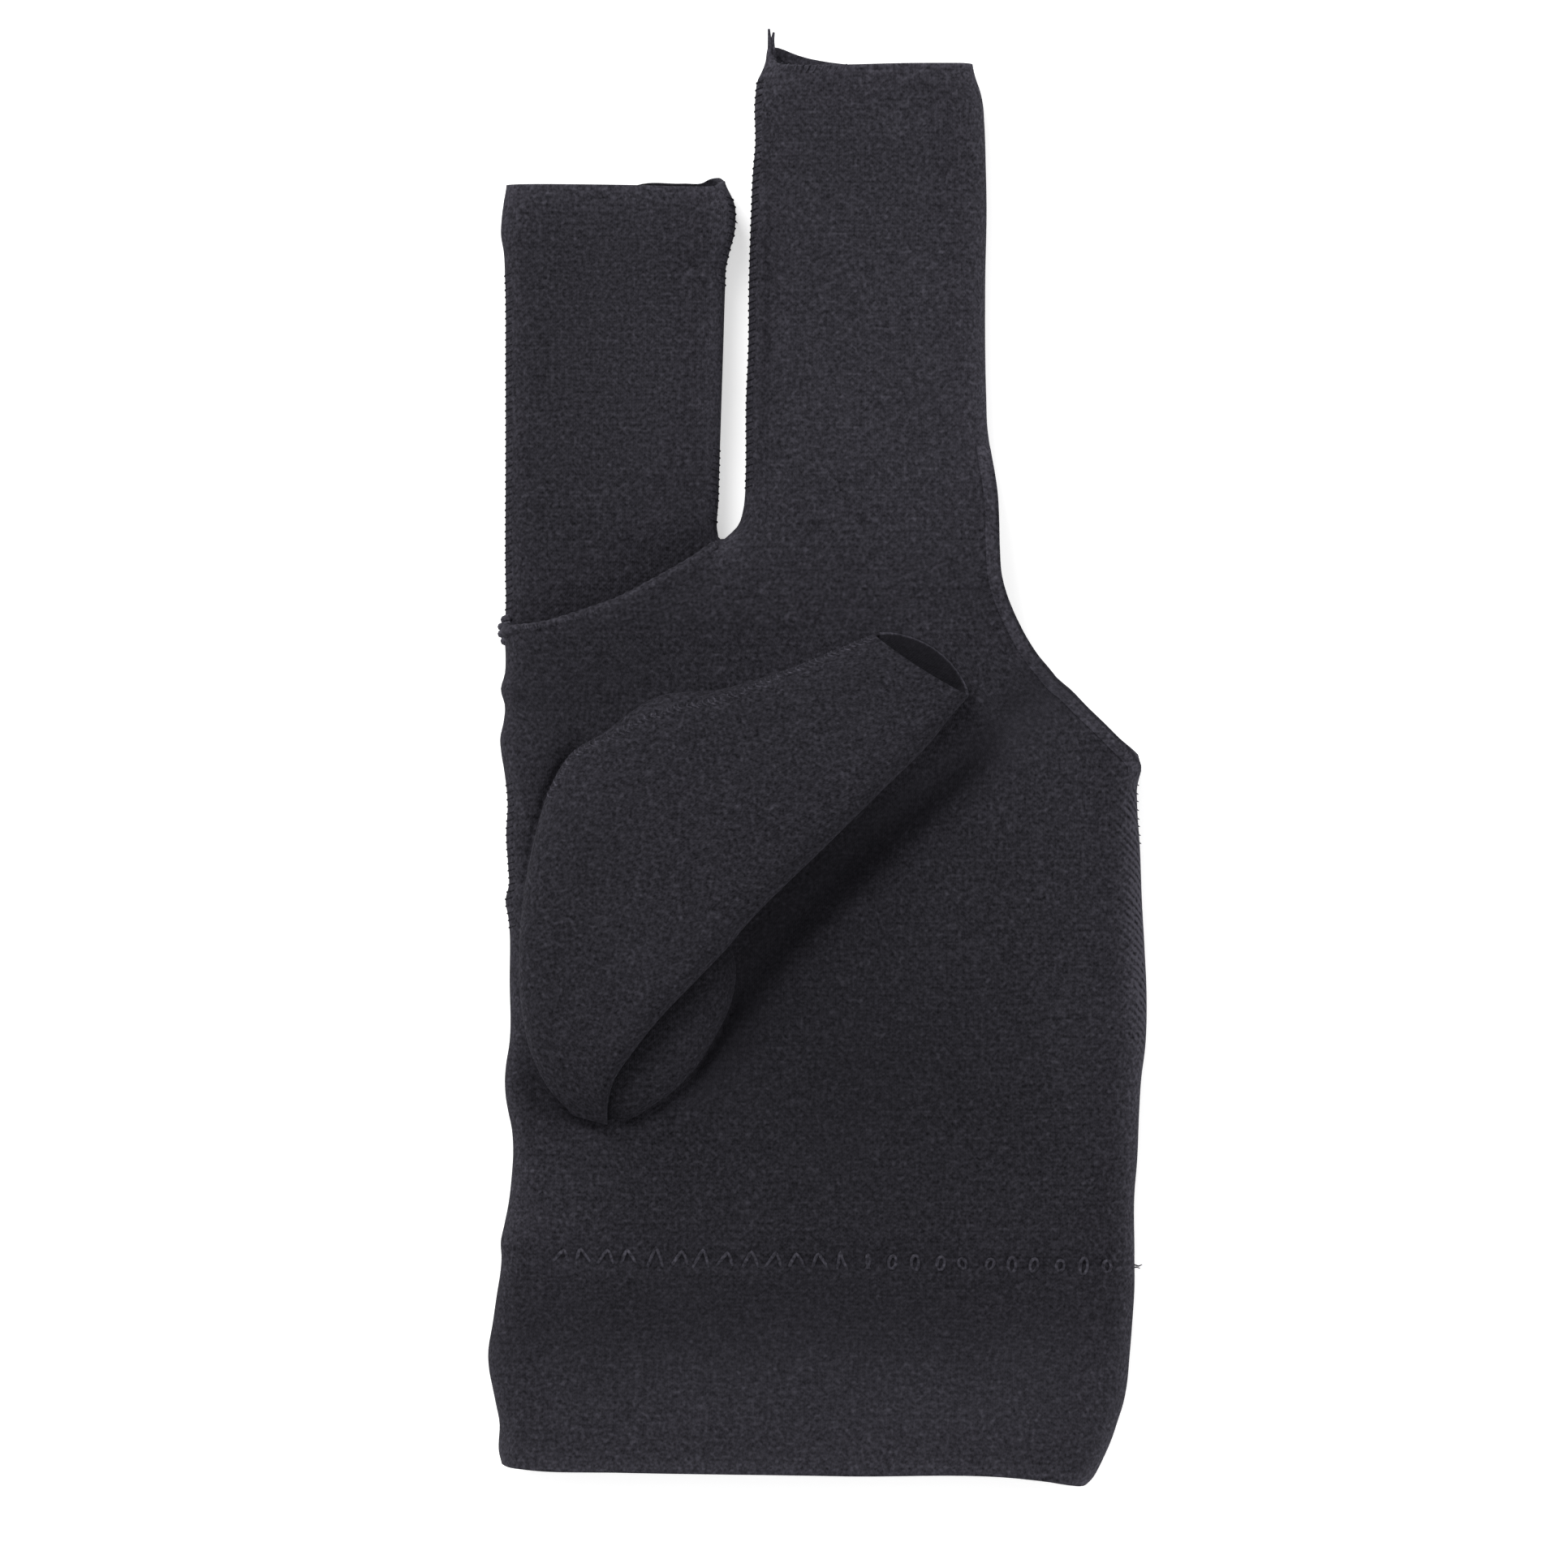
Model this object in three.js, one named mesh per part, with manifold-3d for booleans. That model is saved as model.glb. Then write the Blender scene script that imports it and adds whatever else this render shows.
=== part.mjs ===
// Three-finger billiard glove in fine stretch knit, lying palm up on a table.
// Millimetres. +Y points to the fingertips, +Z up, Z = 0 is the table.
// Each cloth piece is a hollow sleeve: an outer form less the same form drawn in by the wall.

import * as THREE from 'three';
import { mergeVertices } from 'three/addons/utils/BufferGeometryUtils.js';
import Module from 'manifold-3d';

const wasm = await Module();
wasm.setup();

// Driving dimensions
const WALL = 1.2; // one layer of knit
const HEM_WALL = 1.8; // knit folded double
const SEAM_GAP = 0.3; // between neighbouring pieces
const SIDE_HEM_WIDTH = 3; // hem along the opening for the ring and little fingers
const SIDE_HEM_PROUD = 0.25; // that hem's rise above the sleeve
const MOUTH_PARTING = 4.2; // level that parts the back's layer from the palm's at a finger's mouth
const THUMB_MOUTH_LIP = 3.8; // the lower rim of the thumb's mouth shows this far past the upper one
const THUMB_HOLE_SIZE = 0.8; // hole in the palm, as a share of the seam round the thumb's root
const THUMB_HOLE_BOTTOM = 5; // the hole is cut from inside the palm's hollow
const THUMB_HOLE_TOP = 12; // to just above the palm
const SEAM_ROLL_RADIUS = 1.2; // raised seam at the root of the index tube
const CREASE_DEPTH = 1.5; // fold that runs from the thumb's edge to the side opening
const CREASE_WIDTH = 4.5;
const CREASE_FADE = 0.1; // share of the fold's half wave that is left out at each end

// Form of a lying sleeve
const PRESSED = 2; // how deep an underside would bulge if the table did not press it flat
const WIDEST_LEVEL = 0.42; // level of a section's widest line, as a share of its height
const ROUND_SQUARENESS = 2; // exponent of a narrow section's crown, a half ellipse
const WIDTH_PER_SQUARENESS = 28; // a section this much wider has a crown flatter by one exponent

// Form of the folded thumb: levels are shares of its rise, at its left end and what they gain to the right
const THUMB_WIDEST = { left: 0.22, gain: 0.4 };
const THUMB_CREST = { left: 0.6, gain: 0.4 };
const THUMB_CROWN_SQUARENESS = 3.4;
const THUMB_UNDER_SQUARENESS = 2.6;
const THUMB_UNDER_HOLLOWING = 1.6; // above 1, the underside leaves its sides less steeply

// Working dimensions of the cuts
const OVERRUN = 4; // how far a hollow runs past an open mouth
const BELOW_TABLE = -1; // floor of a clearance that has to cut through everything
const STEEPEST_INSET = 2.4; // limit on how far a slanting edge widens its inset
const TALL = 60; // cuts made as seen from above reach this far up and down
const FAR = 130; // and this far out, past every edge of the glove

const KNIT = { color: 0x2d2c31, roughness: 0.92, metalness: 0 };
const HEM_KNIT = { color: 0x323136, roughness: 0.92, metalness: 0 };

// A table is a list of column names and a row of numbers for each section
function table(columns, rows) {
  return rows.map((row) => Object.fromEntries(columns.map((name, i) => [name, row[i]])));
}

// Palm, back and middle finger, from the cuff to the finger's hem. Along the side opening the right
// edge lies past the real edge, which the side cut trims.
const HAND_ROWS = table(['leftX', 'leftY', 'rightX', 'rightY', 'top'], [
  [-46.8, -72.2, 46.8, -74.0, 9.8],
  [-46.8, -70.0, 46.9, -71.0, 9.8],
  [-46.0, -66.8, 46.9, -66.8, 9.9],
  [-45.2, -59.5, 47.2, -59.5, 10.1],
  [-45.3, -53.6, 47.5, -53.6, 10.2],
  [-46.1, -48.0, 47.8, -48.0, 10.2],
  [-45.5, -39.2, 48.5, -39.2, 10.2],
  [-45.5, -32.0, 48.7, -32.0, 10.2],
  [-45.7, -22.4, 48.1, -22.4, 10.2],
  [-45.8, -12.8, 47.8, -12.8, 10.2],
  [-46.1, -4.0, 47.4, -4.0, 10.2],
  [-46.3, -1.2, 47.9, -1.2, 10.2],
  [-46.7, 2.4, 52.0, 2.4, 10.1],
  [-46.4, 6.4, 49.0, 6.4, 10.1],
  [-46.8, 11.2, 44.4, 11.2, 10.0],
  [-46.2, 16.0, 40.0, 16.0, 10.0],
  [-46.3, 19.6, 37.2, 19.6, 9.9],
  [-45.4, 21.6, 36.2, 21.6, 9.9],
  [-40.4, 22.6, 35.7, 22.6, 9.9],
  [-34.6, 24.2, 34.9, 24.2, 9.9],
  [-28.8, 26.4, 34.2, 26.4, 9.8],
  [-23.2, 29.2, 33.6, 29.2, 9.7],
  [-18.0, 32.2, 33.3, 32.2, 9.6],
  [-14.4, 34.6, 33.2, 34.6, 9.5],
  [-12.0, 37.2, 32.8, 37.2, 9.4],
  [-10.8, 41.2, 31.4, 41.2, 9.3],
  [-10.6, 47.4, 25.5, 47.4, 9.1],
  [-10.5, 52.0, 25.1, 52.0, 9.0],
  [-10.4, 61.6, 24.9, 61.6, 8.8],
  [-10.1, 74.8, 24.8, 74.8, 8.7],
  [-9.4, 89.6, 24.7, 89.6, 8.7],
]);

const MIDDLE_HEM_ROWS = table(['leftX', 'leftY', 'rightX', 'rightY', 'top'], [
  [-9.4, 89.9, 24.7, 89.9, 9.1],
  [-9.0, 95.2, 24.7, 95.2, 9.3],
  [-9.2, 98.4, 24.5, 98.4, 9.3],
  [-9.0, 100.7, 23.9, 100.7, 9.2],
  [-8.2, 103.0, 23.2, 103.0, 9.1],
  [-7.2, 107.0, 23.0, 107.0, 9.1],
]);
// Seen from above: edges of the palm's layer and of the back's layer at the middle finger's mouth
const MIDDLE_FRONT_EDGE = [[-30, 103.2], [-2, 103.3], [30, 103.8]];
const MIDDLE_BACK_EDGE = [[-30, 106.2], [-6.8, 106.2], [-2.6, 104.5], [0.6, 103.9], [30, 104.1]];

// The rows below the slanted seam lie inside the palm, which trims them away
const INDEX_ROWS = table(['leftX', 'leftY', 'rightX', 'rightY', 'top'], [
  [-42.0, 12.0, -17.0, 12.0, 7.4],
  [-44.2, 18.4, -15.0, 18.4, 7.9],
  [-46.1, 22.4, -14.7, 22.4, 8.0],
  [-46.1, 35.2, -14.7, 35.2, 8.4],
  [-46.1, 44.0, -14.3, 44.0, 8.6],
  [-46.1, 58.0, -13.9, 58.0, 8.6],
  [-46.2, 72.0, -13.6, 72.0, 8.6],
  [-46.3, 77.0, -12.8, 77.0, 8.6],
]);

const INDEX_HEM_ROWS = table(['leftX', 'leftY', 'rightX', 'rightY', 'top'], [
  [-46.5, 77.3, -12.6, 77.3, 9.0],
  [-46.8, 79.0, -12.2, 79.0, 9.1],
  [-46.6, 82.0, -12.3, 82.0, 9.1],
  [-46.3, 84.4, -12.8, 84.4, 9.0],
  [-46.1, 88.0, -13.8, 88.0, 9.0],
]);
const INDEX_FRONT_EDGE = [[-60, 85.8], [-28, 85.7], [-10, 85.7]];
const INDEX_BACK_EDGE = [[-60, 85.8], [-28, 86.0], [-16, 86.4], [-14.4, 86.8], [-10, 86.6]];

// From the mouth, which gapes towards the wrist, to the stitch row
const CUFF_ROWS = table(['leftX', 'leftY', 'rightX', 'rightY', 'top'], [
  [-46.6, -108.0, 40.0, -108.0, 13.8],
  [-46.9, -101.0, 42.8, -101.0, 13.2],
  [-47.0, -96.8, 44.4, -96.8, 12.2],
  [-48.0, -92.0, 45.7, -92.0, 10.9],
  [-48.7, -87.2, 46.2, -87.2, 10.0],
  [-48.0, -82.4, 46.6, -82.4, 9.7],
  [-47.3, -77.6, 46.9, -77.6, 9.8],
  [-46.9, -72.5, 46.9, -74.3, 10.0],
]);
// Seen from above: lower edge of the cuff, whose right corner droops
const CUFF_EDGE = [
  [-60, -102.9], [-46.4, -103.1], [31, -104.9], [36, -105.5], [40.2, -106.2], [60, -101.0],
];

// Thumb tube from its mouth to the tip of its root. The left end of each section lies on the palm, the
// right end is the raised fold over the shadow. Base is the palm's level under the section, rise the
// height of the fold above it, sink how far the form reaches below it before the palm cuts it.
const THUMB_ROWS = table(['leftX', 'leftY', 'rightX', 'rightY', 'base', 'rise', 'sink'], [
  [8.5, 18.6, 22.3, 10.2, 9.8, 10.6, 1.5],
  [2.6, 16.6, 19.6, 7.2, 9.8, 11.2, 6],
  [-3.8, 14.2, 15.6, 2.9, 9.8, 11.8, 6],
  [-13.8, 10.0, 9.4, -3.2, 9.8, 12.4, 6],
  [-23.8, 6.6, 1.6, -11.9, 9.8, 12.8, 6],
  [-32.2, 4.2, -6.2, -20.0, 9.6, 13.0, 6],
  [-36.4, 1.4, -10.0, -24.2, 9.4, 13.0, 6],
  [-39.4, -3.4, -13.0, -27.6, 9.2, 13.0, 6],
  [-41.6, -10.4, -17.6, -32.4, 8.8, 12.8, 6],
  [-43.4, -20.0, -22.4, -37.6, 8.4, 12.4, 6],
  [-44.0, -30.8, -26.6, -42.4, 8.2, 11.6, 6],
  [-42.8, -40.4, -29.6, -46.4, 8.4, 10.2, 6],
  [-39.6, -47.4, -30.5, -50.2, 9.0, 8.0, 6],
  [-35.2, -52.2, -31.2, -53.0, 9.4, 5.0, 6],
]);

// Seen from above: seam of the thumb's root on the palm. The first five points are the lobe that shows.
const THUMB_ROOT = [
  [-12.5, -27.7], [-12.4, -33.1], [-15.4, -40.7], [-21.8, -48.6], [-29.6, -51.4],
  [-37.2, -46.0], [-40.4, -34.0], [-37.6, -22.0], [-28.0, -14.0], [-17.0, -18.0],
];
const THUMB_ROOT_POINTS = 26;
// Levels of the thumb's root, as height above the table and size against the seam on the palm
const ROOT_LEVELS = table(['height', 'size'], [
  [5.0, 1.0],
  [10.4, 1.0],
  [12.6, 0.93],
  [14.6, 0.76],
  [15.8, 0.5],
]);

// Seen from above: real edge of the opening for the ring and little fingers
const SIDE_EDGE = [
  [25.4, 47.4], [26.3, 42.4], [26.8, 35.2], [27.1, 28.0], [28.7, 23.2], [31.2, 18.4],
  [34.7, 13.6], [39.7, 8.8], [44.3, 4.0], [46.9, 1.6], [47.9, -0.8],
];
const SIDE_EDGE_POINTS = 14;

// Seen from above: fold in the palm, from the side opening to below the thumb
const CREASE = [[36, 13.5], [29, 8.8], [23, 4.0], [17, -0.8], [9, -9.2], [0, -18], [-8, -27]];

// Route of the raised seam over the root of the index tube, from its left end to the crotch
const SEAM_ROUTE = [
  [-46.2, 20.6, 2.2], [-46.3, 20.6, 5.6], [-44.6, 20.6, 8.7], [-37.2, 21.8, 9.1], [-29.0, 24.4, 9.1],
  [-21.8, 28.2, 9.0], [-16.4, 31.6, 8.9], [-13.6, 34.0, 6.6], [-13.2, 34.8, 2.6],
];
const SEAM_STEPS = 22;
const SEAM_HALF_SIDES = 8; // facets round half of the roll

// Places of the points across a section, as shares of its width, close together at the round sides
const CROWN_STEPS = [
  0, 0.008, 0.03, 0.07, 0.13, 0.22, 0.33, 0.45, 0.55, 0.63, 0.7, 0.77, 0.84, 0.9, 0.95, 0.98, 0.995, 1,
];
const UNDER_STEPS = [0.992, 0.97, 0.92, 0.8, 0.5, 0.2, 0.08, 0.03, 0.008];
const THUMB_CROWN_STEPS = [0, 0.02, 0.08, 0.18, 0.32, 0.48, 0.64, 0.78, 0.88, 0.95, 0.985, 1];
const THUMB_UNDER_STEPS = [0.985, 0.94, 0.86, 0.7, 0.45, 0.2, 0.06, 0.015];

// Closed mesh to solid and back
function solidOf(geometry) {
  geometry.deleteAttribute('normal');
  geometry.deleteAttribute('uv');
  const merged = mergeVertices(geometry, 1e-4);
  const vertProperties = new Float32Array(merged.attributes.position.array);
  const triVerts = new Uint32Array(merged.index.array);
  return new wasm.Manifold(new wasm.Mesh({ numProp: 3, vertProperties, triVerts }));
}

function geometryOf(solid) {
  const { vertProperties, triVerts } = solid.getMesh();
  const geometry = new THREE.BufferGeometry();
  geometry.setAttribute('position', new THREE.BufferAttribute(new Float32Array(vertProperties), 3));
  geometry.setIndex(new THREE.BufferAttribute(new Uint32Array(triVerts), 1));
  geometry.computeVertexNormals();
  return geometry;
}

// Skin over rings of equal length, closed by a fan at each end. To an eye that looks along the loft,
// from its first ring to its last, the rings run anticlockwise.
function loft(rings) {
  const size = rings[0].length;
  const positions = rings.flat().flatMap((p) => [p.x, p.y, p.z]);
  const index = [];
  for (let r = 0; r < rings.length - 1; r += 1) {
    for (let i = 0; i < size; i += 1) {
      const a = r * size + i;
      const b = r * size + ((i + 1) % size);
      index.push(a, b + size, b, a, a + size, b + size);
    }
  }
  const capAt = (ring, offset, isFirst) => {
    const middle = ring.reduce((sum, p) => sum.add(p), new THREE.Vector3()).divideScalar(size);
    const centre = positions.length / 3;
    positions.push(middle.x, middle.y, middle.z);
    for (let i = 0; i < size; i += 1) {
      const a = offset + i;
      const b = offset + ((i + 1) % size);
      index.push(...(isFirst ? [a, b, centre] : [b, a, centre]));
    }
  };
  capAt(rings[0], 0, true);
  capAt(rings[rings.length - 1], (rings.length - 1) * size, false);
  const geometry = new THREE.BufferGeometry();
  geometry.setAttribute('position', new THREE.Float32BufferAttribute(positions, 3));
  geometry.setIndex(index);
  return solidOf(geometry);
}

// Prism with vertical sides over an outline seen from above
function prism(outline, bottom, top) {
  const shape = new THREE.Shape(outline.map(([x, y]) => new THREE.Vector2(x, y)));
  const geometry = new THREE.ExtrudeGeometry(shape, { depth: top - bottom, bevelEnabled: false });
  geometry.translate(0, 0, bottom);
  return solidOf(geometry);
}

// Smooth curve through points seen from above, as count + 1 points, or count if it is closed
function smooth(points, count, closed = false) {
  const curve = new THREE.CatmullRomCurve3(points.map(([x, y]) => new THREE.Vector3(x, y, 0)), closed);
  const steps = curve.getSpacedPoints(count).map((p) => [p.x, p.y]);
  return closed ? steps.slice(0, -1) : steps;
}

// Depth of the palm's fold at a place seen from above: a rounded groove that fades at both ends
function creaseDepth(x, y) {
  let nearest = Infinity;
  let along = 0;
  CREASE.slice(1).forEach(([bx, by], i) => {
    const [ax, ay] = CREASE[i];
    const t = THREE.MathUtils.clamp(
      ((x - ax) * (bx - ax) + (y - ay) * (by - ay)) / ((bx - ax) ** 2 + (by - ay) ** 2), 0, 1);
    const distance = Math.hypot(x - ax - t * (bx - ax), y - ay - t * (by - ay));
    if (distance < nearest) {
      nearest = distance;
      along = (i + t) / (CREASE.length - 1);
    }
  });
  const groove = Math.exp(-((nearest / CREASE_WIDTH) ** 2));
  return CREASE_DEPTH * groove * Math.sin(Math.PI * (CREASE_FADE + (1 - 2 * CREASE_FADE) * along));
}

// One section of a lying sleeve: a crown that rounds down to the sides, and an underside that the table
// presses flat. The inset draws it in on all sides, a negative inset grows it.
function sleeveRing(row, inset, floor, insetLeft, insetRight) {
  const left = new THREE.Vector2(row.leftX, row.leftY);
  const right = new THREE.Vector2(row.rightX, row.rightY);
  const across = right.clone().sub(left).normalize();
  left.addScaledVector(across, insetLeft);
  right.addScaledVector(across, -insetRight);
  const widest = WIDEST_LEVEL * row.top;
  const squareness = ROUND_SQUARENESS + left.distanceTo(right) / WIDTH_PER_SQUARENESS;
  const place = (share, height) => {
    const p = left.clone().lerp(right, share);
    return new THREE.Vector3(p.x, p.y, height(p, Math.sqrt(1 - Math.abs(2 * share - 1) ** squareness)));
  };
  const crown = CROWN_STEPS.map((share) => place(share, (p, round) => {
    const dent = row.dent ? row.dent(p.x, p.y) : 0;
    return widest + (row.top - inset - widest - dent) * round;
  }));
  const under = UNDER_STEPS.map((share) => place(share, (p, round) =>
    Math.max(floor, widest - (widest + PRESSED - inset) * round)));
  return [...under.reverse(), ...crown.reverse()];
}

// A slanting edge needs a wider inset across the section to keep the wall's thickness
function edgeInset(rows, i, side, inset) {
  const before = rows[Math.max(i - 1, 0)];
  const after = rows[Math.min(i + 1, rows.length - 1)];
  const slope = (after[`${side}X`] - before[`${side}X`]) / (after[`${side}Y`] - before[`${side}Y`]);
  return inset * Math.min(Math.hypot(1, slope), STEEPEST_INSET);
}

// Solid form of a lying sleeve, drawn in by inset, and run past both ends by overrun
function sleeve(rows, inset = 0, floor = Math.max(inset, 0), overrun = 0) {
  const rings = rows.map((row, i) => sleeveRing(
    row, inset, floor, edgeInset(rows, i, 'left', inset), edgeInset(rows, i, 'right', inset)));
  if (overrun > 0) {
    const shifted = (ring, by) => ring.map((p) => new THREE.Vector3(p.x, p.y + by, p.z));
    rings.unshift(shifted(rings[0], -overrun));
    rings.push(shifted(rings[rings.length - 1], overrun));
  }
  return loft(rings);
}

// Hand: palm, back and middle finger
const handRows = HAND_ROWS.map((row) => ({ ...row, dent: creaseDepth }));
const handForm = sleeve(handRows);
const handHollow = sleeve(handRows, WALL, WALL, OVERRUN);
const handClearance = sleeve(handRows, -SEAM_GAP, BELOW_TABLE);

// The side cut ends the palm and the back as free edges, and the side hem is a zone along that cut
const sideEdge = smooth(SIDE_EDGE, SIDE_EDGE_POINTS);
function alongSideEdge(depth) {
  return sideEdge.map(([x, y], i) => {
    const [ax, ay] = sideEdge[Math.max(i - 1, 0)];
    const [bx, by] = sideEdge[Math.min(i + 1, sideEdge.length - 1)];
    const length = Math.hypot(bx - ax, by - ay);
    return [x + (depth * (by - ay)) / length, y - (depth * (bx - ax)) / length];
  });
}
function sideZone(depth) {
  const edge = alongSideEdge(depth);
  const first = edge[0];
  const last = edge[edge.length - 1];
  return prism([[FAR, first[1] + depth], [first[0], first[1] + depth], ...edge,
    [last[0], last[1] - depth], [FAR, last[1] - depth]], -TALL, TALL);
}
const sideCut = sideZone(0);
const sideHemInset = HEM_WALL - SIDE_HEM_PROUD;
const sideHem = sleeve(handRows, -SIDE_HEM_PROUD, 0)
  .subtract(sleeve(handRows, sideHemInset, sideHemInset, OVERRUN))
  .subtract(sideCut)
  .intersect(sideZone(SIDE_HEM_WIDTH));

// Index tube
const indexHollow = sleeve(INDEX_ROWS, WALL, WALL, OVERRUN);
const indexSleeve = sleeve(INDEX_ROWS).subtract(indexHollow).subtract(handClearance);

// One section of the thumb: it leans, low where it rests on the palm and high at the fold over the shadow
function thumbRing(row, inset) {
  const left = new THREE.Vector2(row.leftX, row.leftY);
  const right = new THREE.Vector2(row.rightX, row.rightY);
  const across = right.clone().sub(left).normalize();
  left.addScaledVector(across, inset);
  right.addScaledVector(across, -inset);
  const outward = new THREE.Vector2(-across.y, across.x);
  const place = (share, height, lip) => {
    const p = left.clone().lerp(right, share).addScaledVector(outward, lip * Math.sin(Math.PI * share));
    return new THREE.Vector3(p.x, p.y, row.base + height);
  };
  const level = ({ left: start, gain }, share) => row.rise * (start + gain * share);
  const round = (share, squareness) => Math.sqrt(1 - Math.abs(2 * share - 1) ** squareness);
  const crown = THUMB_CROWN_STEPS.map((share) => {
    const widest = level(THUMB_WIDEST, share);
    const crest = level(THUMB_CREST, share) - inset;
    return place(share, widest + (crest - widest) * round(share, THUMB_CROWN_SQUARENESS), 0);
  });
  const under = THUMB_UNDER_STEPS.map((share) => {
    const widest = level(THUMB_WIDEST, share);
    const drop = round(share, THUMB_UNDER_SQUARENESS) ** THUMB_UNDER_HOLLOWING;
    return place(share, widest - (widest + row.sink - inset) * drop, row.lip);
  });
  return [...crown, ...under];
}

// Solid form of the thumb. Drawn in, it stops short of the closed tip by the same inset.
function thumb(inset, overrun = 0) {
  const rows = THUMB_ROWS.map((row, i) => ({ ...row, lip: i === 0 ? THUMB_MOUTH_LIP : 0 }));
  const tip = rows[rows.length - 1];
  tip.leftY += Math.max(inset, 0);
  tip.rightY += Math.max(inset, 0);
  const rings = rows.map((row) => thumbRing(row, inset));
  if (overrun > 0) {
    rings.unshift(rings[0].map((p) => p.clone().add(new THREE.Vector3(overrun, overrun, 0))));
  }
  return loft(rings);
}
const palmUnderThumb = sleeve(handRows, -SEAM_GAP - WALL, BELOW_TABLE);
const thumbHollow = thumb(WALL, OVERRUN).subtract(palmUnderThumb);

// Root of the thumb: a low mound round the thumb hole
const rootOutline = smooth(THUMB_ROOT, THUMB_ROOT_POINTS, true).map(([x, y]) => new THREE.Vector2(x, y));
const rootSum = rootOutline.reduce((sum, p) => sum.add(p), new THREE.Vector2());
const rootCentre = rootSum.divideScalar(rootOutline.length);
function rootForm(inset) {
  const rings = ROOT_LEVELS.map((level) => rootOutline.map((p) => {
    const arm = p.clone().sub(rootCentre);
    arm.setLength(arm.length() * level.size - inset).add(rootCentre);
    return new THREE.Vector3(arm.x, arm.y, level.height - inset);
  }));
  return loft(rings);
}
const rootHollow = rootForm(WALL);
const holeOutline = rootOutline.map((p) => p.clone().lerp(rootCentre, 1 - THUMB_HOLE_SIZE).toArray());
const thumbHole = prism(holeOutline, THUMB_HOLE_BOTTOM, THUMB_HOLE_TOP);
const thumbSleeve = thumb(0)
  .subtract(handClearance)
  .subtract(thumbHollow)
  .subtract(rootHollow)
  .subtract(thumbHole);
const thumbGusset = rootForm(0)
  .subtract(rootHollow)
  .subtract(handClearance)
  .subtract(thumb(-SEAM_GAP));

const handSleeve = handForm
  .subtract(handHollow)
  .subtract(indexHollow)
  .subtract(thumbHole)
  .subtract(sideCut)
  .subtract(sideZone(SIDE_HEM_WIDTH + SEAM_GAP));

// Hems and cuff
function ring(rows, wall) {
  return sleeve(rows).subtract(sleeve(rows, wall, wall, OVERRUN));
}
const belowCuff = prism([...CUFF_EDGE, [FAR, -FAR], [-FAR, -FAR]], -TALL, TALL);
const cuffBand = ring(CUFF_ROWS, HEM_WALL).subtract(belowCuff);

// A finger's mouth is trimmed twice: the back's layer ends at one edge, the palm's layer above it sooner
function trimMouth(hem, backEdge, frontEdge) {
  const beyond = (edge) => [...edge, [edge[edge.length - 1][0], FAR], [edge[0][0], FAR]];
  return hem
    .subtract(prism(beyond(backEdge), -TALL, TALL))
    .subtract(prism(beyond(frontEdge), MOUTH_PARTING, TALL));
}
const middleHem = trimMouth(ring(MIDDLE_HEM_ROWS, HEM_WALL), MIDDLE_BACK_EDGE, MIDDLE_FRONT_EDGE);
const indexHem = trimMouth(ring(INDEX_HEM_ROWS, HEM_WALL), INDEX_BACK_EDGE, INDEX_FRONT_EDGE);

// Raised seam: a roll along its route, seated on the palm and the index tube
function seamRoll() {
  const route = new THREE.CatmullRomCurve3(SEAM_ROUTE.map((p) => new THREE.Vector3(...p)));
  const circle = new THREE.Shape();
  circle.absarc(0, 0, SEAM_ROLL_RADIUS, 0, 2 * Math.PI);
  return solidOf(new THREE.ExtrudeGeometry(
    circle, { steps: SEAM_STEPS, extrudePath: route, curveSegments: SEAM_HALF_SIDES }));
}
const indexSeam = seamRoll()
  .subtract(handClearance)
  .subtract(sleeve(INDEX_ROWS, -SEAM_GAP, BELOW_TABLE));

// Scene graph
const glove = new THREE.Group();
glove.name = 'billiard_glove';
function add(name, solid, look) {
  const mesh = new THREE.Mesh(geometryOf(solid), new THREE.MeshStandardMaterial(look));
  mesh.name = name;
  glove.add(mesh);
}
add('hand_sleeve', handSleeve, KNIT);
add('middle_hem', middleHem, HEM_KNIT);
add('index_sleeve', indexSleeve, KNIT);
add('index_hem', indexHem, HEM_KNIT);
add('index_seam', indexSeam, HEM_KNIT);
add('thumb_sleeve', thumbSleeve, KNIT);
add('thumb_gusset', thumbGusset, KNIT);
add('side_hem', sideHem, HEM_KNIT);
add('cuff_band', cuffBand, HEM_KNIT);

export default glove;
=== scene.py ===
"""Three-finger billiard glove in fine black stretch knit, lying palm up on a pale table.

Lengths are millimetres until they go into a mesh. +Y points to the fingertips, +Z up, and Z = 0 is the
table. Most pieces are cloth surfaces: a point is worked out from its place across and along the piece.
"""

import bpy
import numpy as np
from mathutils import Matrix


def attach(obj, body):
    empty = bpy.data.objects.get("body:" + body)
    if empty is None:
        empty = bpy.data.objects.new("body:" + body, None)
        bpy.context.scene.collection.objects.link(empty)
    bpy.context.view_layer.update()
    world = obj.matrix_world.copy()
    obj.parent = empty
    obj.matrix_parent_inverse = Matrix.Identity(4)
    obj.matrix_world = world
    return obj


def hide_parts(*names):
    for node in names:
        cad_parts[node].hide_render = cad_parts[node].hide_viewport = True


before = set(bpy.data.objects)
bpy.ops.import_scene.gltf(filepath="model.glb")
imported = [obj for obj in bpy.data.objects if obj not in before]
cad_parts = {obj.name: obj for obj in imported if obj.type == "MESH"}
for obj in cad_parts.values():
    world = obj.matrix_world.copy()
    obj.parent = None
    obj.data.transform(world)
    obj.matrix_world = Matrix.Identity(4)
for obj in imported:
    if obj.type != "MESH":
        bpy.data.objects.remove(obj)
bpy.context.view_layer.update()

# Camera. It looks straight down on the palm from far off, with the fingertips at the top of the
# picture, as the glove was laid out for its photograph.
MM = 0.001
PICTURE_WIDTH = 231.84  # across the square picture, at the level of the glove's folded edges
PICTURE_CENTRE = (-4.92, -2.76)
FOLD_LEVEL = 4.2
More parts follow.
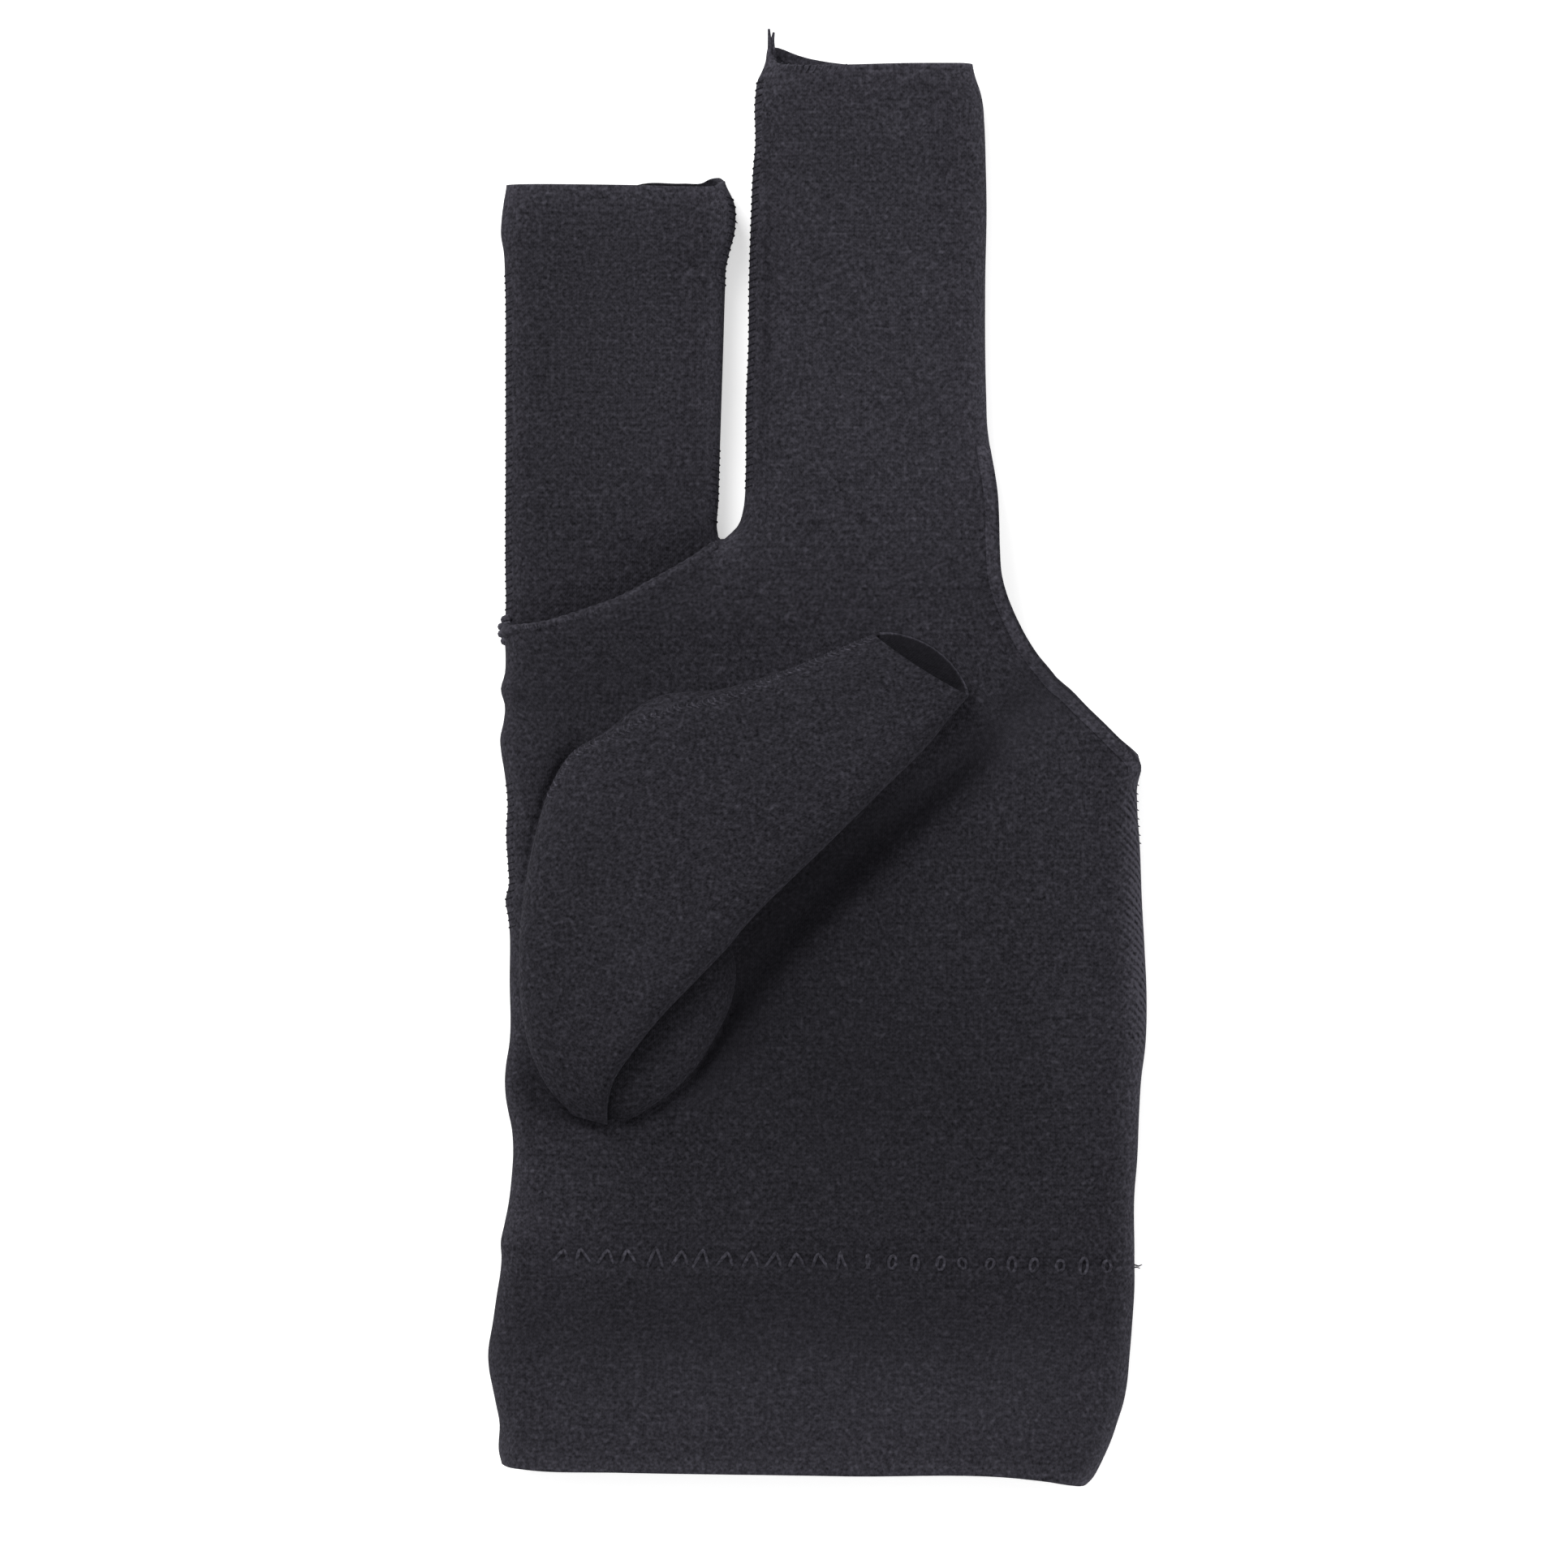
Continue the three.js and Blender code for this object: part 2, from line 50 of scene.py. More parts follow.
CAMERA_HEIGHT = 1500.0

camera = bpy.data.objects.new("camera", bpy.data.cameras.new("camera"))
camera.location = (PICTURE_CENTRE[0] * MM, PICTURE_CENTRE[1] * MM, CAMERA_HEIGHT * MM)
camera.data.angle = 2 * np.arctan(PICTURE_WIDTH / 2 / (CAMERA_HEIGHT - FOLD_LEVEL))
camera.data.clip_start = 0.01
bpy.context.scene.collection.objects.link(camera)
bpy.context.scene.camera = camera


# Palm, back of the hand and middle finger's tube. One piece of knit is wrapped round the hand and up
# the middle finger, so both sides are folds. It is cut away at the root of the index finger, and along
# a slant where the ring and little fingers leave.
#
# Where the folds and edges run was measured in the photograph. The heights are guesses.
TOP_LEVEL = [  # y, height of the upper layer where it lies flat
    (-108, 14.2), (-101, 13.4), (-96.8, 12.2), (-92, 10.7), (-87.2, 9.4), (-82.4, 8.9), (-77.6, 9.4),
    (-72.5, 10.4), (-66, 10.5), (-60, 10.3), (-48, 10.2), (-4, 10.2), (10, 10.0), (22, 9.9), (34, 9.5),
    (47, 9.1), (62, 8.8), (75, 8.7), (107, 8.7),
]
LEFT_FOLD = [  # y, x of the folded edge from the cuff to the seam of the index tube
    (-106.4, -46.2), (-103.2, -46.6), (-101.6, -47.0), (-96.8, -47.0), (-94.4, -47.5), (-92, -48.0),
    (-89.6, -48.5), (-87.2, -48.7), (-82.4, -48.0), (-77.6, -47.3), (-75.2, -46.9), (-72.8, -46.7),
    (-70.4, -46.8), (-68, -46.3), (-64.4, -45.6), (-60.8, -45.2), (-56, -45.0), (-53.6, -45.2),
    (-51.2, -45.7), (-48.8, -46.1), (-46.4, -46.2), (-44, -46.0), (-41.6, -45.6), (-32, -45.5),
    (-22.4, -45.7), (-20, -46.1), (-17.6, -45.6), (-15.2, -45.7), (-10.4, -46.0), (-5.6, -45.8),
    (-0.8, -46.3), (1.6, -46.7), (4, -46.9), (6.4, -46.4), (8.8, -46.2), (11.2, -46.8),
    (13.6, -46.2), (16, -46.1), (19.7, -46.3),
]
RIGHT_FOLD = [  # y, x of the folded edge from the cuff to the slanted opening
    (-106.6, 39.0), (-106, 39.8), (-105, 40.8), (-104, 41.4), (-102.6, 42.1), (-99.2, 43.6),
    (-96.8, 44.4), (-94.4, 45.2), (-92, 45.7), (-87.2, 46.2), (-82.4, 46.6), (-77.6, 46.9),
    (-72, 46.9), (-63.2, 46.9), (-58.4, 47.3), (-51.2, 47.6), (-46.4, 47.9), (-41.6, 48.5),
    (-34, 48.7), (-27.2, 48.4), (-20, 48.0), (-12, 47.7), (-5.6, 47.3), (-3.2, 47.3), (-0.8, 47.9),
]
INDEX_SEAM = [  # x, y of the slanted seam between the palm and the index tube
    (-46.3, 19.7), (-43.0, 20.0), (-40.2, 20.4), (-36.0, 21.6), (-33.0, 22.6), (-29.2, 24.0),
    (-25.3, 26.0), (-21.1, 28.3), (-16.9, 30.9), (-14.6, 32.7), (-13.6, 33.6),
]
MIDDLE_LEFT = [  # y, x of the middle tube's folded edge along the slot
    (33.6, -13.6), (35.2, -11.9), (37.6, -11.0), (40, -10.7), (42.4, -10.6), (54.4, -10.5),
    (61.6, -10.2), (71.2, -10.1), (80.8, -9.8), (88, -9.5), (91.4, -9.2), (99, -9.15),
    (101.4, -8.8), (102.8, -8.1), (104.3, -7.6), (106.6, -7.1),
]
MIDDLE_RIGHT = [  # y, x of its other folded edge
    (47.4, 25.5), (49.6, 25.2), (54.4, 25.0), (71.2, 24.85), (83.2, 25.05), (88, 24.95),
    (95.2, 24.7), (97.8, 24.5), (100, 24.0), (101.4, 23.5), (103.6, 23.0), (106.6, 22.9),
]
INDEX_LEFT = [  # y, x of the index tube's folded edges
    (19.7, -46.3), (23.2, -46.1), (30, -46.15), (44, -46.1), (58, -46.1), (72, -46.2), (76, -46.4),
    (78.4, -46.8), (80.8, -46.7), (83.2, -46.4), (85.7, -46.0), (88, -46.0),
]
INDEX_RIGHT = [
    (33.6, -13.6), (34.2, -14.4), (35.2, -14.7), (40, -14.6), (49.6, -14.3), (61.6, -13.9), (71.2, -13.6),
    (73.6, -13.5), (75, -13.2), (76.6, -12.8), (78.4, -12.3), (80.2, -12.1), (83.2, -12.3),
    (84.4, -12.8), (85.6, -13.4), (88, -13.9),
]
SIDE_EDGE = [  # y, x of the free slanted edge
    (-0.8, 47.9), (0.4, 47.7), (1.6, 46.9), (4, 44.5), (6.4, 42.1), (8.8, 39.6), (11.2, 37.2),
    (13.0, 35.1), (13.8, 34.5), (16, 32.7), (18.4, 31.1), (20.8, 29.8), (23.2, 28.7), (25.6, 27.8),
    (28, 27.2), (32, 26.9), (36, 26.8), (40, 26.6), (43, 26.2), (45.4, 25.8), (47.4, 25.5),
]
FOLD_REACH = 10.0  # how far in from a fold the cloth has come up to its full height
FOLD_POWER = 3.0
MID_SHARE = 0.42  # level of the folds, as a share of the height
PRESSED = 2.0  # the table presses flat what would bulge below it by this
WALL = 1.2
HOLLOWS = [  # route, depth and half width of each valley in the palm's layer
    ([(35, 12.5), (30, 7.4), (24.3, 2.0), (17.8, -2.9), (7.9, -11.3), (0.2, -19.2), (-6.0, -26.0),
      (-10.4, -32.3), (-13.6, -39.5), (-17, -46)], 2.2, 3.4),
    ([(12.0, -5.0), (3.6, -12.6), (-3.2, -20.0), (-8.2, -25.6), (-11.2, -31.0)], 0.7, 2.4),
    ([(-38, 8), (-28, 12), (-12, 16), (2, 20), (12, 24)], 1.4, 6.0),
    ([(-37.4, 0.9), (-38.6, -1.4), (-40.0, -4.4), (-41.3, -8.4), (-42.4, -12.6), (-43.3, -17.5)], 0.7, 0.5),
    ([(-34.6, 3.4), (-36.0, 2.0), (-37.4, -0.2), (-38.9, -3.0)], 0.7, 0.6),
    ([(-43.6, -43.0), (-42.3, -46.0), (-40.2, -49.2), (-37.0, -51.8), (-34.0, -52.8)], 2.7, 1.8),
    ([(-30.0, -52.8), (-27.0, -52.0), (-24.3, -50.8), (-19.2, -46.8), (-15.6, -42.2)], 0.6, 0.6),
    ([(-18.5, -46.0), (-16.6, -43.4), (-14.4, -40.0), (-12.6, -36.0), (-11.8, -33.0)], 1.2, 1.0),
]
HOLLOW_END = 0.06  # share of a valley's half wave that is left out at each of its ends
HOLLOW_POWER = 0.6  # below 1, so that a valley keeps its depth for most of its length
CORD_LINE = [(-8.6, 44.0), (-8.1, 51), (-7.6, 62), (-7.4, 75), (-7.2, 95)]  # x, y of the middle's side seam
CORD_LINE_DEPTH = 0.4
CORD_LINE_HALF_WIDTH = 0.6
CORD_LINE_FADE = 0.2  # share of its length over which it deepens
PAINTED_SHADE_ROUTES = [  # route, darkening and half width of painted shade along it, or of painted light if below zero
    ([(12.4, -2.8), (9.1, -5.7), (2.7, -11.7), (-4.3, -18.7), (-9.4, -24.8), (-11.8, -31.0),
      (-12.6, -36.0)], 0.42, 2.4),
    ([(-34.0, 5.4), (-37.4, 1.8), (-39.6, -2.4), (-41.0, -7.0)], 0.22, 1.9),
    ([(-44.4, -44.4), (-43.2, -47.8), (-40.8, -51.2), (-37.4, -53.4)], 0.28, 2.2),
    (CORD_LINE, 0.24, CORD_LINE_HALF_WIDTH),
    ([(-46, 18.8), (-42, 18.9), (-38, 19.6), (-33.6, 21.2), (-29, 23.2), (-25, 25.3)], -0.24, 1.0),
]
SHADE_END = 0.1  # share of its half wave that is left out at each end
EDGE_PUCKERS = [-4.3, -6.2, -8.3, -10.9, -13.4, -17.2, -20.8, -47.8, -58.0, -66.0]  # y along the left fold
PUCKER_DEPTH = 0.75
PUCKER_HALF_WIDTH = 0.6
PUCKER_REACH = 3.8
JOIN_LEFT, JOIN_RIGHT = -72.3, -74.1  # y of the stitch row at the cuff's two sides
JOIN_START, JOIN_WIDTH = -46.8, 93.7  # x of the row's left end, and how far it runs
STITCH_GROOVE = 0.2
STITCH_GROOVE_HALF_WIDTH = 1.7
SEAM_LIFT = 0.4  # the palm is thicker by this along the index seam, where its edge is turned under
SEAM_LIFT_REACH = 2.0
WAVES = [  # wavelength, heading in degrees, phase and height of the slow waves of loose cloth
    (31, 62, 0.4, 0.16), (19, 118, 1.9, 0.10), (12.5, 81, 4.1, 0.05), (8.3, 97, 2.2, 0.025),
]


def through(rows, at):
    """Smooth curve through rows of (place, value): a cubic in each span, whose slope at a row is that of
    its neighbours."""
    place, value = np.asarray(rows, float).T
    slope = np.gradient(value, place)
    at = np.clip(at, place[0], place[-1])
    i = np.clip(np.searchsorted(place, at, side="right") - 1, 0, len(place) - 2)
    span = place[i + 1] - place[i]
    t = (at - place[i]) / span
    return (value[i] * (1 + 2 * t) * (1 - t) ** 2 + span * slope[i] * t * (1 - t) ** 2
            + value[i + 1] * t * t * (3 - 2 * t) + span * slope[i + 1] * t * t * (t - 1))


def smoothstep(low, high, at):
    """0 below low, 1 above high, and a smooth rise between them."""
    t = np.clip((at - low) / (high - low), 0, 1)
    return t * t * (3 - 2 * t)


def near_route(x, y, route):
    """Distance from places to a polyline, and how far along it the nearest point lies, as a share."""
    route = np.asarray(route, float)
    nearest = np.full(np.broadcast(x, y).shape, np.inf)
    along = np.zeros(nearest.shape)
    for i, (start, end) in enumerate(zip(route[:-1], route[1:])):
        run = end - start
        t = np.clip(((x - start[0]) * run[0] + (y - start[1]) * run[1]) / (run @ run), 0, 1)
        distance = np.hypot(x - start[0] - t * run[0], y - start[1] - t * run[1])
        closer = distance < nearest
        nearest = np.where(closer, distance, nearest)
        along = np.where(closer, (i + t) / (len(route) - 1), along)
    return nearest, along


def edge_points(rows, low, high, spacing=1.0):
    """Points (x, y) along an edge that is given as y, x rows."""
    y = np.linspace(low, high, max(int(abs(high - low) / spacing), 2))
    return np.stack([through(rows, y), y], axis=1)


def rise(distance):
    """Share of the full height that the cloth has reached at a distance from its fold."""
    return np.sqrt(1 - (1 - np.clip(distance / FOLD_REACH, 0, 1)) ** FOLD_POWER)


def dip(distance, depth, half_width):
    """Rounded groove: a bell curve across its line."""
    return depth * np.exp(-((distance / half_width) ** 2))


def half_wave(along, left_out):
    """Half wave from one end of a route to the other, without a share of it at each end."""
    return np.sin(np.pi * (left_out + (1 - 2 * left_out) * along))


def join_height(x):
    """Y of the stitch row that holds the cuff's hem, which runs down a little to the right."""
    return JOIN_LEFT + (JOIN_RIGHT - JOIN_LEFT) * (np.asarray(x) - JOIN_START) / JOIN_WIDTH


def cloth_top(x, y):
    """Height at which the upper layer lies away from its folds: the flat level, less each valley, which
    fades at both ends as a half wave, less the grooves and puckers of the stitching, plus slow waves."""
    top = through(TOP_LEVEL, y)
    for route, depth, half_width in HOLLOWS:
        distance, along = near_route(x, y, route)
        top = top - dip(distance, depth, half_width) * half_wave(along, HOLLOW_END) ** HOLLOW_POWER
    from_left = np.abs(x - through(LEFT_FOLD, y))
    for place in EDGE_PUCKERS:
        top = top - dip(y - place, PUCKER_DEPTH, PUCKER_HALF_WIDTH) * dip(from_left, 1, PUCKER_REACH)
    distance, along = near_route(x, y, CORD_LINE)
    top = top - dip(distance, CORD_LINE_DEPTH, CORD_LINE_HALF_WIDTH) * smoothstep(0, CORD_LINE_FADE, along)
    top = top - dip(y - join_height(x), STITCH_GROOVE, STITCH_GROOVE_HALF_WIDTH)
    for length, heading, phase, height in WAVES:
        turned = x * np.cos(np.radians(heading)) + y * np.sin(np.radians(heading))
        top = top + height * np.sin(2 * np.pi * turned / length + phase)
    return top


LEFT_FOLDS = [edge_points(LEFT_FOLD, -106.4, 19.7), edge_points(MIDDLE_LEFT, 33.6, 106.6),
              edge_points(INDEX_LEFT, 19.7, 88)]
RIGHT_FOLDS = [edge_points(RIGHT_FOLD, -106.4, -0.8), edge_points(MIDDLE_RIGHT, 47.4, 106.6),
               edge_points(INDEX_RIGHT, 33.6, 88)]


def fold_distance(x, y):
    """Distance from a place to the nearest folded edge of the glove."""
    return np.min([near_route(x, y, fold)[0] for fold in LEFT_FOLDS + RIGHT_FOLDS], axis=0)


def layers(top, distance, drawn=0.0, floor=0.0):
    """Heights of the upper and the lower layer at a distance from the fold where they meet. From the
    fold's level one comes up to the full height and the other goes down until the floor holds it. Each
    is drawn in by the same amount."""
    mid = MID_SHARE * top
    shown = mid + (top - drawn - mid) * rise(distance)
    hidden = np.maximum(mid - (mid + PRESSED - drawn) * rise(distance), floor)
    return shown, hidden


def front_level(x, y, distance):
    """Height of the palm's layer, whose edge is a little thicker along the index seam."""
    top = cloth_top(x, y) + dip(near_route(x, y, INDEX_SEAM)[0], SEAM_LIFT, SEAM_LIFT_REACH)
    return layers(top, distance)[0]


def back_level(x, y, distance):
    """Height of the back's layer, which the table presses flat."""
    return layers(cloth_top(x, y), distance)[1]


def shares(count):
    """Places across a piece, close together at its folds."""
    return (1 - np.cos(np.linspace(0, np.pi, count + 1))) / 2


def quads(numbers, flip=False):
    """Faces over a grid of vertex numbers, one for each cell, which face up unless they are flipped."""
    corners = [numbers[:-1, :-1], numbers[:-1, 1:], numbers[1:, 1:], numbers[1:, :-1]]
    if flip:
        corners.reverse()
    return np.stack([c.ravel() for c in corners], axis=1)


def run_length(points, axis):
    """Length of cloth from the first point to each point along an axis of the grid."""
    steps = np.linalg.norm(np.diff(points, axis=axis), axis=-1)
    first = np.zeros_like(np.take(steps, [0], axis=axis))
    return np.concatenate([first, np.cumsum(steps, axis=axis)], axis=axis)


def add_piece(name, points, faces, cloth, material, node=None, slot="knit", **marks):
    """Mesh of points in millimetres and quads, with the flat cloth's coordinates as its UV map. Marks are
    values for each point, such as painted light and shade, or where the cloth is stretched."""
    used, compact = np.unique(faces, return_inverse=True)
    compact = compact.reshape(faces.shape)
    mesh = bpy.data.meshes.new(name)
    mesh.vertices.add(len(used))
    mesh.vertices.foreach_set("co", (points[used] * MM).astype(np.float32).ravel())
    mesh.loops.add(faces.size)
    mesh.loops.foreach_set("vertex_index", compact.astype(np.int32).ravel())
    mesh.polygons.add(len(faces))
    mesh.polygons.foreach_set("loop_start", np.arange(0, faces.size, 4, dtype=np.int32))
    mesh.polygons.foreach_set("use_smooth", np.ones(len(faces), bool))
    mesh.update(calc_edges=True)
    layer = mesh.uv_layers.new(name="cloth")
    layer.data.foreach_set("uv", (cloth.reshape(-1, 2) * MM).astype(np.float32).ravel())
    for mark, values in marks.items():
        attribute = mesh.attributes.new(mark, "FLOAT", "POINT")
        attribute.data.foreach_set("value", values.ravel()[used].astype(np.float32))
    mesh.materials.append(material)
    piece = bpy.data.objects.new(name, mesh)
    bpy.context.scene.collection.objects.link(piece)
    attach(piece, "root")
    if node:
        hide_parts(node)
    return piece


ROW_PITCH = 1.2  # of the faint lines across the knit
RIB_SLANT = (0.62, 0.78)  # ribs in a millimetre across the cloth and along it
NOISE_SCALE = {"grain": 1750.0, "fleck": 1500.0, "fibre": 2900.0, "cloud": 60.0}  # in a metre
TONE = {"stitch": 0.16, "grain": 0.27, "fibre": 0.85, "fleck": 2.4, "cloud": 0.2, "rib": 0.42, "row": 0.04}
GRAIN_MEAN = 1.05
FLECK_START = 0.6  # only the noise's peaks above this are flecks
BASE_TONE, LOWEST_TONE = 0.8, 0.12
CRISP_ANGLE = 60  # degrees, and over it an edge of the cloth is shaded sharp
KNIT_LIGHT = 0.05
KNIT_TINT = (1.0, 0.955, 1.19)  # red, green and blue: a black that is a little violet


def knit_material(name, lightness=1.0, wale=0.70, course=0.56):
    """Fine jersey knit: faint rows of small V stitches under a mottled haze of fibres, with light flecks.
    Wale and course are the spacing of its columns and rows in millimetres. The marks on a piece paint light
    and shade onto it (nap: lighter above zero, darker below), even out its pattern (calm), and show the ribs
    where it is pulled round a fold (ribs)."""
    material = bpy.data.materials.new(name)
    material.use_nodes = True
    tree = material.node_tree
    tree.nodes.clear()

    def node(kind, **settings):
        made = tree.nodes.new("ShaderNode" + kind)
        for key, value in settings.items():
            setattr(made, key, value)
        return made

    def math(operation, *values):
        made = node("Math", operation=operation)
        for target, value in zip(made.inputs, values):
            if isinstance(value, bpy.types.NodeSocket):
                tree.links.new(value, target)
            else:
                target.default_value = value
        return made.outputs[0]

    def total(*values):
        result = values[0]
        for value in values[1:]:
            result = math("ADD", result, value)
        return result

    def swing(value, amount):
        return math("MULTIPLY", math("SUBTRACT", value, 0.5), amount)

    place = node("TexCoord").outputs["Object"]

    def noise(scale, detail=2.0, roughness=0.5):
        made = node("TexNoise", noise_dimensions="3D")
        tree.links.new(place, made.inputs["Vector"])
        made.inputs["Scale"].default_value = scale
        made.inputs["Detail"].default_value = detail
        made.inputs["Roughness"].default_value = roughness
        return made.outputs[0]

    def mark(attribute):
        return node("Attribute", attribute_name=attribute).outputs["Fac"]

    cloth = node("SeparateXYZ")
    tree.links.new(node("UVMap", uv_map="cloth").outputs[0], cloth.inputs[0])
    across = math("DIVIDE", cloth.outputs[0], wale * MM)
    along = math("DIVIDE", cloth.outputs[1], course * MM)
    side = math("ABSOLUTE", math("SUBTRACT", math("FRACT", across), 0.5))
    slanted = math("SUBTRACT", along, math("MULTIPLY", side, 1.5))
    leg = math("SINE", math("MULTIPLY", math("FRACT", slanted), np.pi))
    strand = math("SINE", math("MULTIPLY", side, 2 * np.pi))
    stitch = math("MULTIPLY", leg, math("POWER", math("ABSOLUTE", strand), 0.6))

    rib_phase = total(math("MULTIPLY", cloth.outputs[0], RIB_SLANT[0] / MM),
                      math("MULTIPLY", cloth.outputs[1], RIB_SLANT[1] / MM))
    rib = math("MULTIPLY", math("SINE", math("MULTIPLY", rib_phase, 2 * np.pi)), mark("ribs"))
    row = math("SINE", math("MULTIPLY", cloth.outputs[1], 2 * np.pi / (ROW_PITCH * MM)))

    grain = math("POWER", math("MULTIPLY", noise(NOISE_SCALE["grain"], 0.0), 2.0), 2.0)
    fleck = math("MAXIMUM", math("SUBTRACT", noise(NOISE_SCALE["fleck"], 0.0), FLECK_START), 0.0)
    uneven = total(swing(stitch, TONE["stitch"]),
                   math("MULTIPLY", math("SUBTRACT", grain, GRAIN_MEAN), TONE["grain"]),
                   swing(noise(NOISE_SCALE["fibre"], 0.0), TONE["fibre"]),
                   math("MULTIPLY", fleck, TONE["fleck"]),
                   swing(noise(NOISE_SCALE["cloud"], 2.0), TONE["cloud"]),
                   math("MULTIPLY", rib, TONE["rib"]),
                   math("MULTIPLY", row, TONE["row"]))
    uneven = math("MULTIPLY", uneven, math("SUBTRACT", 1.0, mark("calm")))
    tone = math("MAXIMUM", math("ADD", uneven, BASE_TONE), LOWEST_TONE)
    # painted light and shade: the mark raises or lowers the knit's lightness where light or shade falls on
    # the glove
    lit = math("MULTIPLY", tone, math("ADD", mark("nap"), 1.0))
    colour = node("Mix", data_type="RGBA")
    tree.links.new(math("MULTIPLY", lit, 0.4), colour.inputs["Factor"])
    colour.inputs["A"].default_value = (0.0, 0.0, 0.0, 1)
    colour.inputs["B"].default_value = [KNIT_LIGHT * lightness * share for share in KNIT_TINT] + [1]

    relief = total(math("MULTIPLY", stitch, 0.5), math("MULTIPLY", grain, 0.25), math("MULTIPLY", rib, 0.8))
    bump = node("Bump")
    bump.inputs["Strength"].default_value = 0.6
    bump.inputs["Distance"].default_value = 0.16 * MM
    tree.links.new(relief, bump.inputs["Height"])

    shader = node("BsdfPrincipled")
    shader.inputs["Roughness"].default_value = 0.95
    shader.inputs["Specular IOR Level"].default_value = 0.04
    shader.inputs["Sheen Weight"].default_value = 0.03
    shader.inputs["Sheen Roughness"].default_value = 0.35
    shader.inputs["Sheen Tint"].default_value = (0.6, 0.57, 0.74, 1)
    tree.links.new(colour.outputs["Result"], shader.inputs["Base Color"])
    tree.links.new(bump.outputs[0], shader.inputs["Normal"])
    tree.links.new(shader.outputs[0], node("OutputMaterial").inputs["Surface"])
    return material


def keep_corners(piece):
    """Cut ends of the cloth stay crisp, so that no soft shade runs along a joint."""
    piece.modifiers.new("crisp_corners", "EDGE_SPLIT").split_angle = np.radians(CRISP_ANGLE)


def give_wall(piece, thickness=WALL):
    """The cloth's thickness goes inwards from the surface that shows."""
    wall = piece.modifiers.new("wall", "SOLIDIFY")
    wall.thickness = thickness * MM
    wall.offset = -1
    keep_corners(piece)


KNIT = knit_material("knit")
HEM_KNIT = knit_material("hem_knit", lightness=1.05)

HAND_COLUMNS = 140
BACK_COLUMNS = 24
PALM_ROWS, OPEN_ROWS, FAN_ROWS, SLOT_ROWS, MIDDLE_ROWS = 120, 27, 49, 17, 44
OPEN_LOW, SEAM_LOW, SEAM_HIGH, OPEN_HIGH, HAND_HIGH = -0.8, 19.7, 33.6, 47.4, 89.8
TINY = 1e-6

# Rows of the hand as the heights of their two ends: slanted at the cuff, and fanned at the index seam
lower = np.linspace(0, 1, PALM_ROWS, endpoint=False)
shared = np.linspace(OPEN_LOW, SEAM_LOW, OPEN_ROWS, endpoint=False)
fan = np.linspace(0, 1, FAN_ROWS, endpoint=False)
upper = np.concatenate([np.linspace(SEAM_HIGH, OPEN_HIGH, SLOT_ROWS, endpoint=False),
                        np.linspace(OPEN_HIGH, HAND_HIGH, MIDDLE_ROWS)])
seam_x = np.linspace(INDEX_SEAM[0][0], INDEX_SEAM[-1][0], 300)
seam_run = run_length(np.stack([seam_x, through(INDEX_SEAM, seam_x)], axis=1), 0)
fan_x = np.interp(fan * seam_run[-1], seam_run, seam_x)
left_y = np.concatenate([JOIN_LEFT + lower * (OPEN_LOW - JOIN_LEFT), shared,
                         through(INDEX_SEAM, fan_x), upper])
right_y = np.concatenate([JOIN_RIGHT + lower * (OPEN_LOW - JOIN_RIGHT), shared,
                          SEAM_LOW + fan * (SEAM_HIGH - SEAM_LOW), upper])
is_seam = (left_y > SEAM_LOW + TINY) & (left_y < SEAM_HIGH - TINY)
is_open = (right_y > OPEN_LOW + TINY) & (right_y < OPEN_HIGH - TINY)
left_x = np.where(left_y < SEAM_LOW, through(LEFT_FOLD, left_y), through(MIDDLE_LEFT, left_y))
left_x[len(lower) + len(shared):][:len(fan)] = fan_x
right_x = np.where(right_y < OPEN_LOW, through(RIGHT_FOLD, right_y), through(SIDE_EDGE, right_y))
right_x = np.where(right_y < OPEN_HIGH, right_x, through(MIDDLE_RIGHT, right_y))


def hand_panel(columns, level):
    """Grid of one layer of the hand: x and y run evenly from the left end of each row to its right end,
    and the height follows from them."""
    share = shares(columns)[None, :]
    x = left_x[:, None] + (right_x - left_x)[:, None] * share
    y = left_y[:, None] + (right_y - left_y)[:, None] * share
    distance = fold_distance(x, y)
    distance[~is_seam, 0] = 0
    distance[~is_open, -1] = 0
    return np.stack([x, y, level(x, y, distance)], axis=-1)


front = hand_panel(HAND_COLUMNS, front_level)
back = hand_panel(BACK_COLUMNS, back_level)
front_numbers = np.arange(front[..., 0].size).reshape(front.shape[:2])
back_numbers = front_numbers.size + np.arange(back[..., 0].size).reshape(back.shape[:2])
front_run = run_length(front, 1)
front_run -= front_run[:, [HAND_COLUMNS // 2]]
back_run = front_run[:, [0]] - run_length(back, 1)
hand_cloth = np.concatenate([np.stack([front_run, front[..., 1]], axis=-1).reshape(-1, 2),
                             np.stack([back_run, back[..., 1]], axis=-1).reshape(-1, 2)])
hand_points = np.concatenate([front.reshape(-1, 3), back.reshape(-1, 3)])
faces = np.concatenate([quads(front_numbers), quads(back_numbers, flip=True)])
same = np.arange(len(hand_points))
same[back_numbers[~is_seam, 0]] = front_numbers[~is_seam, 0]
same[back_numbers[~is_open, -1]] = front_numbers[~is_open, -1]

